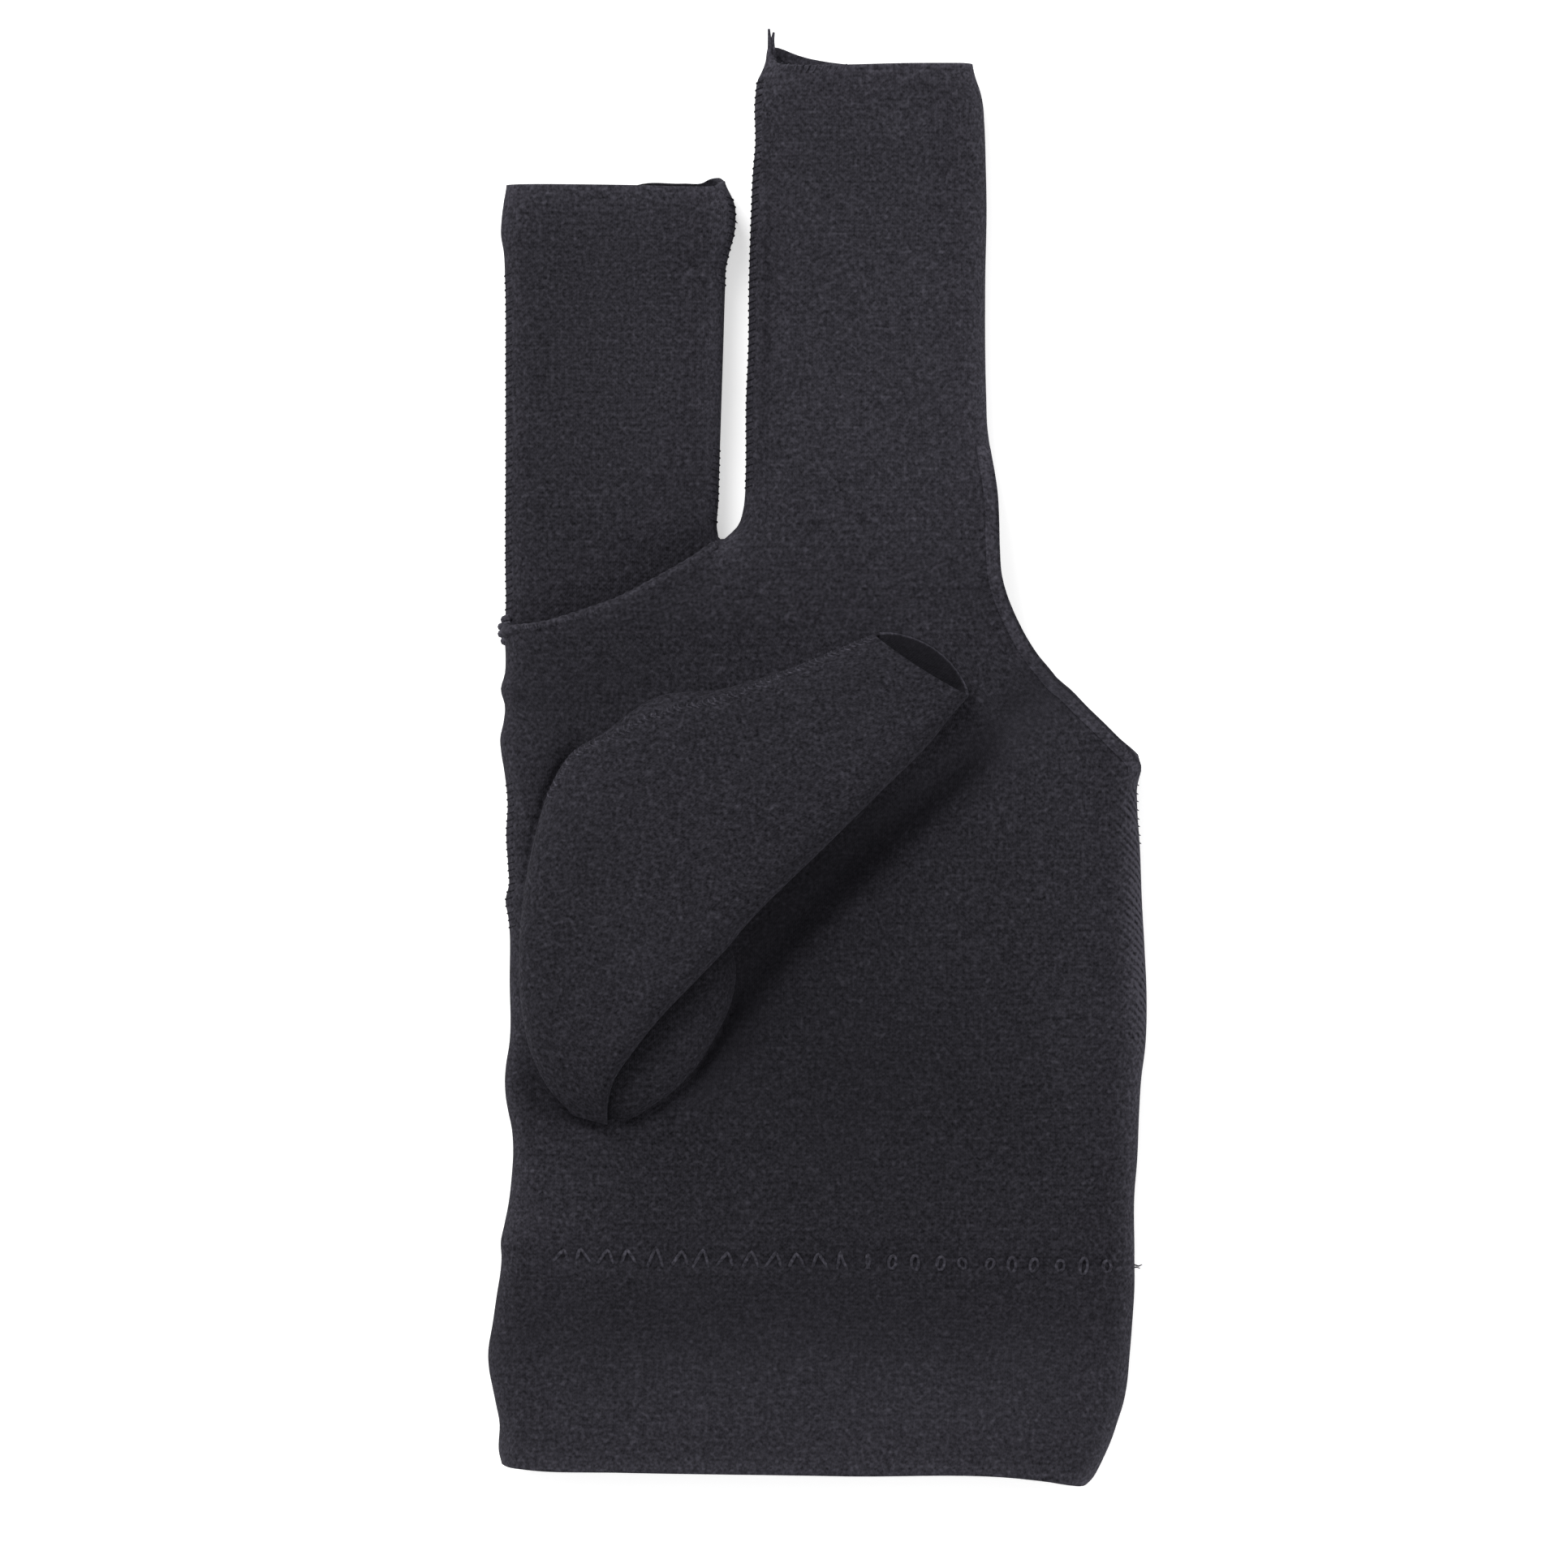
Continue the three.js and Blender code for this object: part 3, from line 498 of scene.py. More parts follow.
PAINTED_SHADING_PATCHES = [  # x, y, reach in x and in y, change of lightness as painted light or painted shade, and how even the pattern is
    (6, -46, 26, 22, -0.20, 0.15),
    (-8, -82, 55, 7, -0.10, 0.28),
    (8, 58, 30, 40, 0.40, 0.08),
    (10, -94, 55, 9, 0.18, 0.14),
    (-4, -102, 60, 6, 0.08, 0.05),
    (-36, 12, 16, 10, 0.0, 0.14),
    (38, 5, 14, 16, 0.13, 0.0),
    (42, -30, 12, 30, 0.12, 0.0),
    (48.4, -24, 2.8, 24, 1.05, 0.0),
    (47.2, -64, 2.0, 14, 0.28, 0.0),
    (-42, -66, 9, 12, 0.22, 0.0),
    (-44.5, -24, 3.5, 22, 0.20, 0.0),
    (-30, 58, 26, 36, 0.10, 0.0),
    (-30, 85, 26, 7, 0.13, 0.0),
    (-14.9, 56, 1.2, 24, 0.45, 0.0),
    (-13.3, 81, 1.2, 6, 0.45, 0.0),
    (-8, 70, 1.3, 30, -0.14, 0.0),
    (8, 101, 26, 9, 0.20, 0.0),
    (22, 75, 8, 35, 0.14, 0.0),
]
EDGE_HIGHLIGHT, EDGE_HIGHLIGHT_REACH = 0.36, 1.9  # painted highlight along the folds
EDGE_SHADE, EDGE_SHADE_REACH = 0.3, 0.42  # and painted shade along their very edge
RIGHT_FOLD_LIGHT, RIGHT_FOLD_LIGHT_REACH = 0.3, 3.0  # more painted light further in from the folds on the right, which face away from the key light
CREASE_EVENNESS, CREASE_REACH = 0.45, 4.5  # the deep crease shows less of the knit's pattern
RIBS_REACH = 3.2  # in from the palm's right fold, where the knit is pulled round the edge
RIBS_LOW, RIBS_HIGH = (-48, -36), (-1, -6)  # y over which the ribs fade in, and out at the upper end


def bells(x, y, column):
    """Sum of a bell curve round each place in the table, as high as its value in a column."""
    change = 0 * x
    for row in PAINTED_SHADING_PATCHES:
        off_x, off_y = (x - row[0]) / row[2], (y - row[1]) / row[3]
        change = change + row[column] * np.exp(-(off_x**2) - off_y**2)
    return change


def painted_shading_marks(x, y):
    """Marks at places on the glove: painted light and shade, and how even the knit's pattern is, as in the
    deep crease.
    """
    right = np.min([near_route(x, y, fold)[0] for fold in RIGHT_FOLDS], axis=0)
    edge = fold_distance(x, y)
    # painted highlight along the folds and painted shade right on their edges
    nap = bells(x, y, 4) + dip(edge, EDGE_HIGHLIGHT, EDGE_HIGHLIGHT_REACH) - dip(edge, EDGE_SHADE, EDGE_SHADE_REACH)
    nap = nap + dip(right, RIGHT_FOLD_LIGHT, RIGHT_FOLD_LIGHT_REACH)
    # painted shade along each route of the table, or painted light where its value is below zero
    for route, shade, half_width in PAINTED_SHADE_ROUTES:
        distance, along = near_route(x, y, route)
        nap = nap - dip(distance, shade, half_width) * half_wave(along, SHADE_END)
    crease = near_route(x, y, HOLLOWS[0][0])[0]
    return {"nap": nap, "calm": bells(x, y, 5) + dip(crease, CREASE_EVENNESS, CREASE_REACH)}


hand_x, hand_y = hand_points[:, 0], hand_points[:, 1]
from_right = np.abs(hand_x - through(RIGHT_FOLD, hand_y))
ribs = dip(from_right, 1, RIBS_REACH) * smoothstep(*RIBS_LOW, hand_y) * smoothstep(*RIBS_HIGH, hand_y)
hand = add_piece("palm_and_middle_tube", hand_points, same[faces], hand_cloth[faces], KNIT,
                 node="hand_sleeve", ribs=ribs, **painted_shading_marks(hand_x, hand_y))
give_wall(hand)


# Index finger's tube. A short sleeve of the same knit, folded flat at both sides, whose root is sewn to
# the slanted top edge of the palm. It lies a little lower than the palm.
INDEX_TOP = 8.6
INDEX_SINK = 2.2  # how much lower the tube lies at its root
INDEX_SINK_REACH = 11.0
INDEX_ROWS = 80
INDEX_TUCK = 0.6  # seam allowance, which lies under the palm's edge
INDEX_HEM_LOW = 77.2
INDEX_COLUMNS = 64
INDEX_WAVE_HEIGHT, INDEX_WAVE_LENGTH, INDEX_WAVE_SLANT = 0.09, 9.5, 0.15
INDEX_WAVE_PLACE, INDEX_WAVE_REACH = 14, 16  # above the seam, where the waves are highest


def index_top(x, y):
    """Height of the tube's upper layer, which drops towards the seam, half as far on the left as on the
    right, and has slow waves across it."""
    above = np.maximum(y - through(INDEX_SEAM, x), 0)
    height = dip(above - INDEX_WAVE_PLACE, INDEX_WAVE_HEIGHT, INDEX_WAVE_REACH)
    waves = height * np.sin(2 * np.pi * (y + INDEX_WAVE_SLANT * x) / INDEX_WAVE_LENGTH)
    sink = INDEX_SINK * (0.5 + 0.5 * smoothstep(-38, -20, x))
    return INDEX_TOP - dip(above, sink, INDEX_SINK_REACH) + waves


def ring_shares(front_columns, back_columns):
    """Places across the front layer from left to right and then back across the lower one, and which of
    them are in front."""
    share = np.concatenate([shares(front_columns), shares(back_columns)[-2:0:-1]])
    return share, np.arange(len(share)) <= front_columns


def close_ring(grid):
    """The same grid with its first column again at the end."""
    return np.concatenate([grid, grid[:, :1]], axis=1)


def end_cap(ring, flip):
    """Quads that close an even ring, all from its first point."""
    first = np.arange(1, len(ring) - 2, 2)
    cap = ring[np.stack([np.zeros_like(first), first, first + 1, first + 2], axis=1)]
    return cap[:, ::-1] if flip else cap


def ring_cloth(points, middle, along):
    """Cloth coordinates of a tube: the length round it from its middle column, and along it."""
    around = run_length(close_ring(points), 1)
    return np.stack([around - around[:, [middle]], close_ring(along)], axis=-1)


def add_ring(name, points, cloth, material, ends=(), flip=False, **rest):
    """Closed tube from a grid whose columns go round it, with a cap on each of the named end rows."""
    numbers = close_ring(np.arange(points[..., 0].size).reshape(points.shape[:2]))
    grid = np.arange(numbers.size).reshape(numbers.shape)
    faces = [quads(numbers, flip)] + [end_cap(numbers[end, :-1], flip != (end == 0)) for end in ends]
    corners = [quads(grid, flip)] + [end_cap(grid[end, :-1], flip != (end == 0)) for end in ends]
    return add_piece(name, points.reshape(-1, 3), np.concatenate(faces),
                     cloth.reshape(-1, 2)[np.concatenate(corners)], material, **rest)


def index_ring():
    """The rows of the tube fan from the slanted seam to the level hem."""
    share, is_front = ring_shares(INDEX_COLUMNS, INDEX_COLUMNS)
    along = np.linspace(0, 1, INDEX_ROWS)[:, None]
    low_left, low_right = SEAM_LOW - INDEX_TUCK, SEAM_HIGH - INDEX_TUCK
    row_left = low_left + (INDEX_HEM_LOW - low_left) * along
    row_right = low_right + (INDEX_HEM_LOW - low_right) * along
    x_left = through(INDEX_LEFT, row_left)
    x_right = through(INDEX_RIGHT, row_right)
    x = x_left + (x_right - x_left) * share
    bow = through(INDEX_SEAM, x) - INDEX_TUCK - low_left - (low_right - low_left) * share
    y = row_left + (row_right - row_left) * share + bow * (1 - along) ** 2
    distance = np.minimum(share, 1 - share) * (x_right - x_left)
    return np.stack([x, y, np.where(is_front, *layers(index_top(x, y), distance))], axis=-1)


index_points = index_ring()
index_y = index_points[..., 1]
index_tube = add_ring("index_tube", index_points, ring_cloth(index_points, INDEX_COLUMNS // 2, index_y), KNIT,
                      node="index_sleeve", **painted_shading_marks(index_points[..., 0], index_y))
give_wall(index_tube)


# Hems of the finger tubes. The end of each tube is folded in and overlocked, so its mouth is a soft
# double edge. On both, the back's layer reaches a little past the palm's layer.
HEM_WALL = 1.8
HEM_RIM = 1.0  # its thickness at the mouth, where it is pressed to an edge
HEM_RIM_REACH = 6.0  # how far in it has its full thickness
HEM_PROUD = 0.12
# painted highlight along the front rim of each mouth
RIM_HIGHLIGHT, RIM_HIGHLIGHT_REACH = 0.42, 2.1
BACK_RIM_SHADE = 0.5  # painted shade: the rim behind is darker than the one in front
RIM_STEPS = 9
INNER_ROWS = 6
MIDDLE_FRONT_EDGE = [(-7.3, 105.4), (-6.9, 104.4), (-6.2, 103.8), (-5, 103.5), (-2, 103.3), (4, 103.35),
                     (12, 103.55), (20, 103.65), (21.6, 103.7), (22.6, 103.7), (23.0, 103.7)]
MIDDLE_BACK_EDGE = [(-7.3, 105.4), (-6.8, 106.3), (-5.8, 106.25), (-4.3, 105.7), (-2.6, 105.1), (0.6, 104.4),
                    (4, 103.95), (12, 103.8), (20, 103.8), (21.6, 103.8), (22.6, 103.75), (23.0, 103.7)]
INDEX_FRONT_EDGE = [(-46, 85.8), (-28, 85.6), (-18, 85.4), (-15.6, 85.5), (-14.4, 85.8), (-13.7, 86.4)]
INDEX_BACK_EDGE = [(-46, 85.8), (-30, 85.7), (-27.4, 85.8), (-26.6, 86.05), (-20, 86.25), (-16.4, 86.45),
                   (-15.3, 87.0), (-14.2, 86.9), (-13.7, 86.4)]


def add_band(name, low, left, right, top, front_edge, back_edge, node, front_columns, back_columns,
             outer_rows, inner_nap=0.0, sign=1, proud=HEM_PROUD, step=1.6):
    """Hem round a mouth: an outer face, a round rim and an inner face, closed at its sewn end.

    A place in the band is a share across its width and a share of the way from the sewn row to the mouth's
    edge. The profile is two straight runs joined by a half circle, as a distance back from the edge and an
    inset from the outer face. Where it starts it steps up by proud. The inner face is made lighter by
    inner_nap as painted light, or darker as painted shade where it is below zero; the front rim gets a
    painted highlight and the rim behind painted shade. Sign is -1 where the mouth is at the lower end."""
    share, is_front = ring_shares(front_columns, back_columns)
    low_left, low_right = low
    start = low_left + (low_right - low_left) * share
    x = through(left, low_left) + (through(right, low_right) - through(left, low_left)) * share
    for _ in range(5):
        edge = np.where(is_front, through(front_edge, x), through(back_edge, x))
        end_left, end_right = edge[0], edge[front_columns]
        x = through(left, end_left) + (through(right, end_right) - through(left, end_left)) * share
    length = np.abs(edge - start)
    radius = HEM_RIM / 2
    arc = np.linspace(0, np.pi, RIM_STEPS)[1:-1, None]
    outer = shares(outer_rows)[::-1, None] * (length - radius) + radius
    inner = shares(INNER_ROWS)[:, None] * (length - radius) + radius
    back_off = np.concatenate([outer, radius - radius * np.sin(arc) + 0 * length, inner])
    inset = np.concatenate([0 * outer, radius - radius * np.cos(arc) + 0 * length,
                            HEM_RIM + (HEM_WALL - HEM_RIM) * smoothstep(0, HEM_RIM_REACH, inner - radius)])
    side_inset = np.where(inset < HEM_RIM, 2 * np.maximum(inset - radius, 0), inset)
    t = 1 - back_off / length
    row_left = low_left + (end_left - low_left) * t[:, [0]]
    row_right = low_right + (end_right - low_right) * t[:, [front_columns]]
    y = start + (edge - start) * t
    x_left = through(left, row_left) + side_inset
    x_right = through(right, row_right) - side_inset
    x = x_left + (x_right - x_left) * share
    drawn = inset - proud * smoothstep(0, step, t * length)
    distance = np.minimum(share, 1 - share) * (x_right - x_left)
    points = np.stack([x, y, np.where(is_front, *layers(top(x, y), distance, drawn, inset))], axis=-1)
    marks = painted_shading_marks(x, y)
    # painted highlight on the front rim, painted shade on the rim behind, and painted light or shade on the
    # inner face
    rim_nap = np.where(is_front, dip(back_off, RIM_HIGHLIGHT, RIM_HIGHLIGHT_REACH), -dip(back_off, BACK_RIM_SHADE, 1))
    marks["nap"] = marks["nap"] + np.where(inset > radius, inner_nap, rim_nap)
    marks = {mark: np.concatenate([values, values[:1]]) for mark, values in marks.items()}
    points = np.concatenate([points, points[:1]])
    cloth = ring_cloth(points, front_columns // 2, low_left + sign * run_length(points, 0))
    keep_corners(add_ring(name, points, cloth, HEM_KNIT, flip=sign < 0, node=node, slot="hem_knit", **marks))


# painted light inside the middle tube's mouth, painted shade inside the index tube's
add_band("middle_hem_band", (HAND_HIGH, HAND_HIGH), MIDDLE_LEFT, MIDDLE_RIGHT, cloth_top, MIDDLE_FRONT_EDGE,
         MIDDLE_BACK_EDGE, "middle_hem", HAND_COLUMNS, BACK_COLUMNS, 22, inner_nap=0.35)
add_band("index_hem_band", (INDEX_HEM_LOW, INDEX_HEM_LOW), INDEX_LEFT, INDEX_RIGHT, index_top,
         INDEX_FRONT_EDGE, INDEX_BACK_EDGE, "index_hem", INDEX_COLUMNS, INDEX_COLUMNS, 16, inner_nap=-0.75)


# Cuff. The wrist end of the same knit, folded up inside as a wide hem that the stitch row holds. Its
# mouth gapes a little, so the cloth swells from the stitch row to the bottom edge.
CUFF_EDGE = [(-46.6, -103.1), (-46.0, -103.3), (-43.3, -103.6), (-28.8, -104.0), (4, -104.5),
             (31, -105.0), (34.2, -105.4), (37.5, -106.0), (39.0, -106.2), (39.8, -106.1), (40.6, -105.4)]
add_band("cuff_band_fold", (JOIN_LEFT, JOIN_RIGHT), LEFT_FOLD, RIGHT_FOLD, cloth_top, CUFF_EDGE, CUFF_EDGE,
         "cuff_band", HAND_COLUMNS, BACK_COLUMNS, 44, sign=-1, proud=0.08)


# Raised seam over the root of the index tube. The palm's edge is turned under and oversewn, which
# leaves a narrow corded ridge with a knot where it goes round the left fold.
SEAM_RADIUS = 0.8
SEAM_KNOT_RADIUS = 1.35
SEAM_SUNK = 0.36  # of its centre line, below the palm's level
SEAM_TURNS = 27  # swellings, one for each turn of the thread round it
SEAM_SWELLING = 0.07  # as a share of its radius
SEAM_KNOT_PLACE, SEAM_KNOT_REACH = 2.2, 1.8  # along the ridge from its left end
# painted highlight along the ridge
SEAM_HIGHLIGHT = 0.4
SEAM_SIDES = 12
SEAM_START = [(-45.7, 2.2), (-45.7, 2.7), (-45.7, 3.2), (-45.7, 3.7)]  # x, z of its end over the left fold


def sweep(routes, radius, reference, sides):
    """Tubes along routes: circles square to each route, whose radius is given for each of its points. The
    reference is a direction that no route runs along."""
    heading = np.gradient(routes, axis=1)
    heading /= np.linalg.norm(heading, axis=-1, keepdims=True)
    across = np.cross(np.broadcast_to(reference, routes.shape), heading)
    across /= np.linalg.norm(across, axis=-1, keepdims=True)
    up = np.cross(heading, across)
    angle = np.linspace(0, 2 * np.pi, sides, endpoint=False)[:, None]
    spread = np.cos(angle) * across[:, :, None] + np.sin(angle) * up[:, :, None]
    return routes[:, :, None] + np.broadcast_to(radius, routes.shape[:2])[:, :, None, None] * spread


def add_threads(name, routes, radius, material, reference=(0, 0, 1), sides=6, **rest):
    """One mesh of many tubes with capped ends, all with the same number of points."""
    routes = np.asarray(routes, float)
    rings = sweep(routes, radius, reference, sides)
    numbers = np.arange(rings[..., 0].size).reshape(rings.shape[:3])
    faces = np.concatenate([quads(close_ring(tube)) for tube in numbers]
                           + [end_cap(tube[0], True) for tube in numbers]
                           + [end_cap(tube[-1], False) for tube in numbers])
    around = np.broadcast_to(0.3 * np.arange(sides), rings.shape[:3])
    along = np.broadcast_to(run_length(routes, 1)[:, :, None], rings.shape[:3])
    cloth = np.stack([around, along], axis=-1).reshape(-1, 2)
    return add_piece(name, rings.reshape(-1, 3), faces, cloth[faces], material, **rest)


ridge_x = np.linspace(-45.6, -14.7, 240)
ridge_y = through(INDEX_SEAM, ridge_x) + 0.1
ridge_z = layers(cloth_top(ridge_x, ridge_y), fold_distance(ridge_x, ridge_y), SEAM_SUNK)[0]
ridge_start = [(x, ridge_y[0], z) for x, z in SEAM_START]
ridge = np.concatenate([ridge_start, np.stack([ridge_x, ridge_y, ridge_z], axis=1)])
ridge_run = run_length(ridge, 0)
ridge_radius = SEAM_RADIUS + dip(ridge_run - SEAM_KNOT_PLACE, SEAM_KNOT_RADIUS - SEAM_RADIUS, SEAM_KNOT_REACH)
ridge_radius *= 1 + SEAM_SWELLING * np.sin(2 * np.pi * SEAM_TURNS * ridge_run / ridge_run[-1])
ridge_radius *= np.sqrt(smoothstep(-0.2, 1.2, np.minimum(ridge_run, ridge_run[-1] - ridge_run)))
add_threads("index_seam_ridge", ridge[None], ridge_radius[None], HEM_KNIT, reference=(-0.4, 0.9, 0.1),
            sides=SEAM_SIDES, node="index_seam", slot="hem_knit",
            nap=np.full((len(ridge), SEAM_SIDES), SEAM_HIGHLIGHT))


# Thumb's tube. A short sleeve sewn round the hole in the palm and folded over, so that its mouth points
# to the ring finger. One side lies on the palm, and the other stands up as a round fold over a shadow.
THUMB_ROWS = [  # left x, left y, right x, right y, base level, rise of the fold
    (8.3, 19.3, 22.3, 10.2, 9.8, 7.6),
    (2.6, 17.0, 19.6, 7.2, 9.8, 8.6),
    (-3.8, 14.4, 15.9, 2.6, 9.8, 9.8),
    (-13.8, 11.3, 9.6, -3.6, 9.8, 11.2),
    (-23.6, 10.1, 1.4, -11.7, 9.8, 12.0),
    (-31.6, 4.7, -6.7, -19.5, 9.6, 12.2),
    (-36.2, 1.8, -10.6, -23.6, 9.4, 12.2),
    (-39.4, -3.4, -13.5, -27.1, 9.2, 12.2),
    (-41.6, -10.4, -18.1, -31.9, 8.8, 12.2),
    (-43.4, -20.0, -23.0, -37.0, 8.4, 12.0),
    (-44.0, -30.8, -27.0, -42.0, 8.2, 11.4),
    (-42.8, -40.4, -29.8, -46.2, 8.4, 9.2),
    (-40.0, -47.0, -30.8, -49.9, 9.0, 6.0),
    (-36.0, -51.6, -30.9, -52.9, 9.2, 2.8),
]
THUMB_LIP = 3.0  # the lower rim of the mouth shows this far past the upper one
THUMB_LIP_POWER = 0.65
THUMB_BOW = 0.5  # and the upper one is bowed back by this
THUMB_GAP = 0.15  # between the tube and the palm under it
THUMB_RIM = 0.6  # thickness of the raw edge at the mouth
THUMB_FLATNESS = 7.0
THUMB_WIDEST = (0.14, 0.48)  # level of its widest line at the left end as a share of the rise, and gain
THUMB_CREST = (0.4, 0.6)  # and the same of its crest
THUMB_SINK = 6.0  # how far its round underside would reach below the palm's level
THUMB_UNDER_FLATNESS = 2.6
THUMB_UNDER_HOLLOWING = 1.6  # above 1, so that the underside leaves its sides less steeply
THUMB_LEFT_HIGHLIGHT, THUMB_LEFT_REACH = 0.15, 0.3  # painted highlight towards its left edge, over a share of its width
THUMB_FOLD_HIGHLIGHT = 0.2  # and a painted highlight right on the raised fold
# painted shade inside the mouth, where the knit's pattern is also evened out
THUMB_INSIDE_SHADE, THUMB_INSIDE_EVENNESS = 0.45, 0.7
THUMB_COLUMNS = 72
THUMB_OUTER_ROWS, THUMB_INNER_ROWS = 120, 44
THUMB_INNER_END = 9  # place, in rows of the table, up to which the inside is made
FIRST_ROW_LENGTH = 6.2  # from the mouth to the second row of the table


def at_rows(rows, at):
    """Each column of rows of values, on a smooth curve through the rows, at places counted in rows."""
    counts = np.arange(len(rows))
    return [through(np.stack([counts, column], axis=1), at) for column in np.asarray(rows, float).T]


def thumb_row(at):
    """The table's columns at places along the thumb, each as a column of its own."""
    return [column[:, None] for column in at_rows(THUMB_ROWS, at)]


def thumb_points(at, share, is_top, inset, lip):
    """Points of the thumb's skin. The level of its widest line climbs from the left end to the right one,
    and so does the crest above it; the underside stays clear of the palm."""
    lx, ly, rx, ry, base, height = thumb_row(at)
    width = np.hypot(rx - lx, ry - ly)
    ax, ay = (rx - lx) / width, (ry - ly) / width
    lx, ly, rx, ry = lx + inset * ax, ly + inset * ay, rx - inset * ax, ry - inset * ay
    bulge = np.abs(np.sin(np.pi * share)) ** THUMB_LIP_POWER
    reach = np.where(is_top, -THUMB_BOW / THUMB_LIP, 1) * lip * bulge
    x = lx + (rx - lx) * share - ay * reach
    y = ly + (ry - ly) * share + ax * reach
    widest = base + height * (THUMB_WIDEST[0] + THUMB_WIDEST[1] * share)
    crest = base + height * (THUMB_CREST[0] + THUMB_CREST[1] * share) - inset
    spread = np.abs(2 * share - 1)
    shown = widest + (crest - widest) * np.sqrt(1 - spread ** THUMB_FLATNESS)
    fall = np.sqrt(1 - spread ** THUMB_UNDER_FLATNESS) ** THUMB_UNDER_HOLLOWING
    hidden = widest - (widest - base + THUMB_SINK - inset) * fall
    palm = front_level(x, y, fold_distance(x, y)) + THUMB_GAP + inset
    return np.stack([x, y, np.where(is_top, shown, np.maximum(hidden, palm))], axis=-1)


thumb_share, thumb_is_top = ring_shares(THUMB_COLUMNS, THUMB_COLUMNS)
rim_arc = np.linspace(0, np.pi, 7)[1:-1]
rim_radius = THUMB_RIM / 2
rim_at = rim_radius / FIRST_ROW_LENGTH
thumb_end = len(THUMB_ROWS) - 1
outer_at = rim_at + (thumb_end - rim_at) * (1 - np.linspace(0, 1, THUMB_OUTER_ROWS) ** 0.9)
inner_at = rim_at + THUMB_INNER_END * np.linspace(0, 1, THUMB_INNER_ROWS)
at = np.concatenate([outer_at, rim_at * (1 - np.sin(rim_arc)), inner_at])
thumb_inset = np.concatenate([np.zeros(len(outer_at)), rim_radius - rim_radius * np.cos(rim_arc),
                              THUMB_RIM + (WALL - THUMB_RIM) * smoothstep(0, 1, inner_at)])[:, None]
thumb_lip = THUMB_LIP * smoothstep(1.2, 0.0, at)[:, None]
skin = thumb_points(at, thumb_share, thumb_is_top, thumb_inset, thumb_lip)
first, last = skin[:1].mean(axis=1, keepdims=True), skin[-1:].mean(axis=1, keepdims=True)
skin = np.concatenate([first + 0.02 * (skin[:1] - first), first + 0.6 * (skin[:1] - first), skin,
                       last + 0.02 * (skin[-1:] - last)])  # both ends close to almost a point
is_inside = np.arange(len(skin))[:, None] >= len(outer_at) + len(rim_arc) + 2
# painted highlights on the left edge and the raised fold, and painted shade inside
left_highlight = THUMB_LEFT_HIGHLIGHT * smoothstep(THUMB_LEFT_REACH, 0, thumb_share)
fold_highlight = THUMB_FOLD_HIGHLIGHT * smoothstep(0.97, 0.99, thumb_share)
add_ring("thumb_tube", skin, ring_cloth(skin, THUMB_COLUMNS // 2, -run_length(skin, 0)), KNIT, ends=(0, -1),
         node="thumb_sleeve", nap=np.where(is_inside, -THUMB_INSIDE_SHADE, left_highlight + fold_highlight),
         calm=np.where(is_inside, THUMB_INSIDE_EVENNESS, 0.0) + 0 * skin[..., 0])


# Thumb's gusset. The lower side of the thumb's root bulges out from under the fold as a rounded lobe.
GUSSET_EDGE = [(-12.4, -27.5), (-12.5, -34.3), (-15.4, -40.7), (-18.6, -45.4), (-23.2, -49.4), (-29.6, -52.2),
               (-37.2, -46.0), (-40.4, -34.0), (-37.6, -22.0), (-28.0, -14.0), (-17.0, -18.0)]
GUSSET_RISE = 4.6
GUSSET_POWER = 3.2  # high, so that the lobe is flat in the middle and steep at its edge
GUSSET_GAP = 0.1  # over the palm at its edge
GUSSET_UNDER_GAP = 0.05  # and under it
GUSSET_UNDERSIDE = [0.97, 0.5, 0.01]  # sizes of the underside's rings, as shares of the edge
# painted light over the whole lobe, whose pattern is a little evened out
GUSSET_PAINTED_LIGHT, GUSSET_EVENNESS = 0.12, 0.1
GUSSET_SHADE, GUSSET_SHADE_REACH = 0.45, 4.0  # painted shade under the edge of the thumb's tube
GUSSET_POINTS = 120


def closed_curve(points, count):
    """As many points as count on the smooth closed curve through the given points."""
    before = 3
    at = before + np.linspace(0, len(points), count, endpoint=False)
    return np.stack(at_rows(points[-before:] + points + points[:4], at), axis=1)


gusset_edge = closed_curve(GUSSET_EDGE, GUSSET_POINTS)
gusset_centre = gusset_edge.mean(axis=0)
rounded = 1 - 0.2 * np.linspace(1, 0, 10)[1:] ** 2
size = np.concatenate([np.linspace(0.01, 0.8, 14), rounded, GUSSET_UNDERSIDE])
is_under = np.arange(len(size))[:, None] >= len(size) - len(GUSSET_UNDERSIDE)
place = gusset_centre + size[:, None, None] * (gusset_edge - gusset_centre)
palm = front_level(place[..., 0], place[..., 1], fold_distance(place[..., 0], place[..., 1]))
dome = GUSSET_RISE * np.sqrt(np.maximum(1 - size ** GUSSET_POWER, 0))[:, None]
over_palm = np.where(is_under, GUSSET_UNDER_GAP, GUSSET_GAP + dome)
lobe = np.concatenate([place, (palm + over_palm)[..., None]], axis=-1)
fold_line = [row[2:4] for row in THUMB_ROWS]
shaded = dip(near_route(place[..., 0], place[..., 1], fold_line)[0], GUSSET_SHADE, GUSSET_SHADE_REACH)
# painted light on the lobe, less the painted shade near the thumb's fold
add_ring("thumb_gusset_lobe", lobe, close_ring(lobe[..., :2]), KNIT, ends=(0, -1), node="thumb_gusset",
         nap=GUSSET_PAINTED_LIGHT - shaded, calm=GUSSET_EVENNESS + 0 * palm)


# Hem of the slanted opening. A narrow double edge round the palm's layer and the back's layer, where the
# ring and little fingers leave.
SIDE_HEM_WIDTH = 2.1
SIDE_HEM_PROUD = 0.14
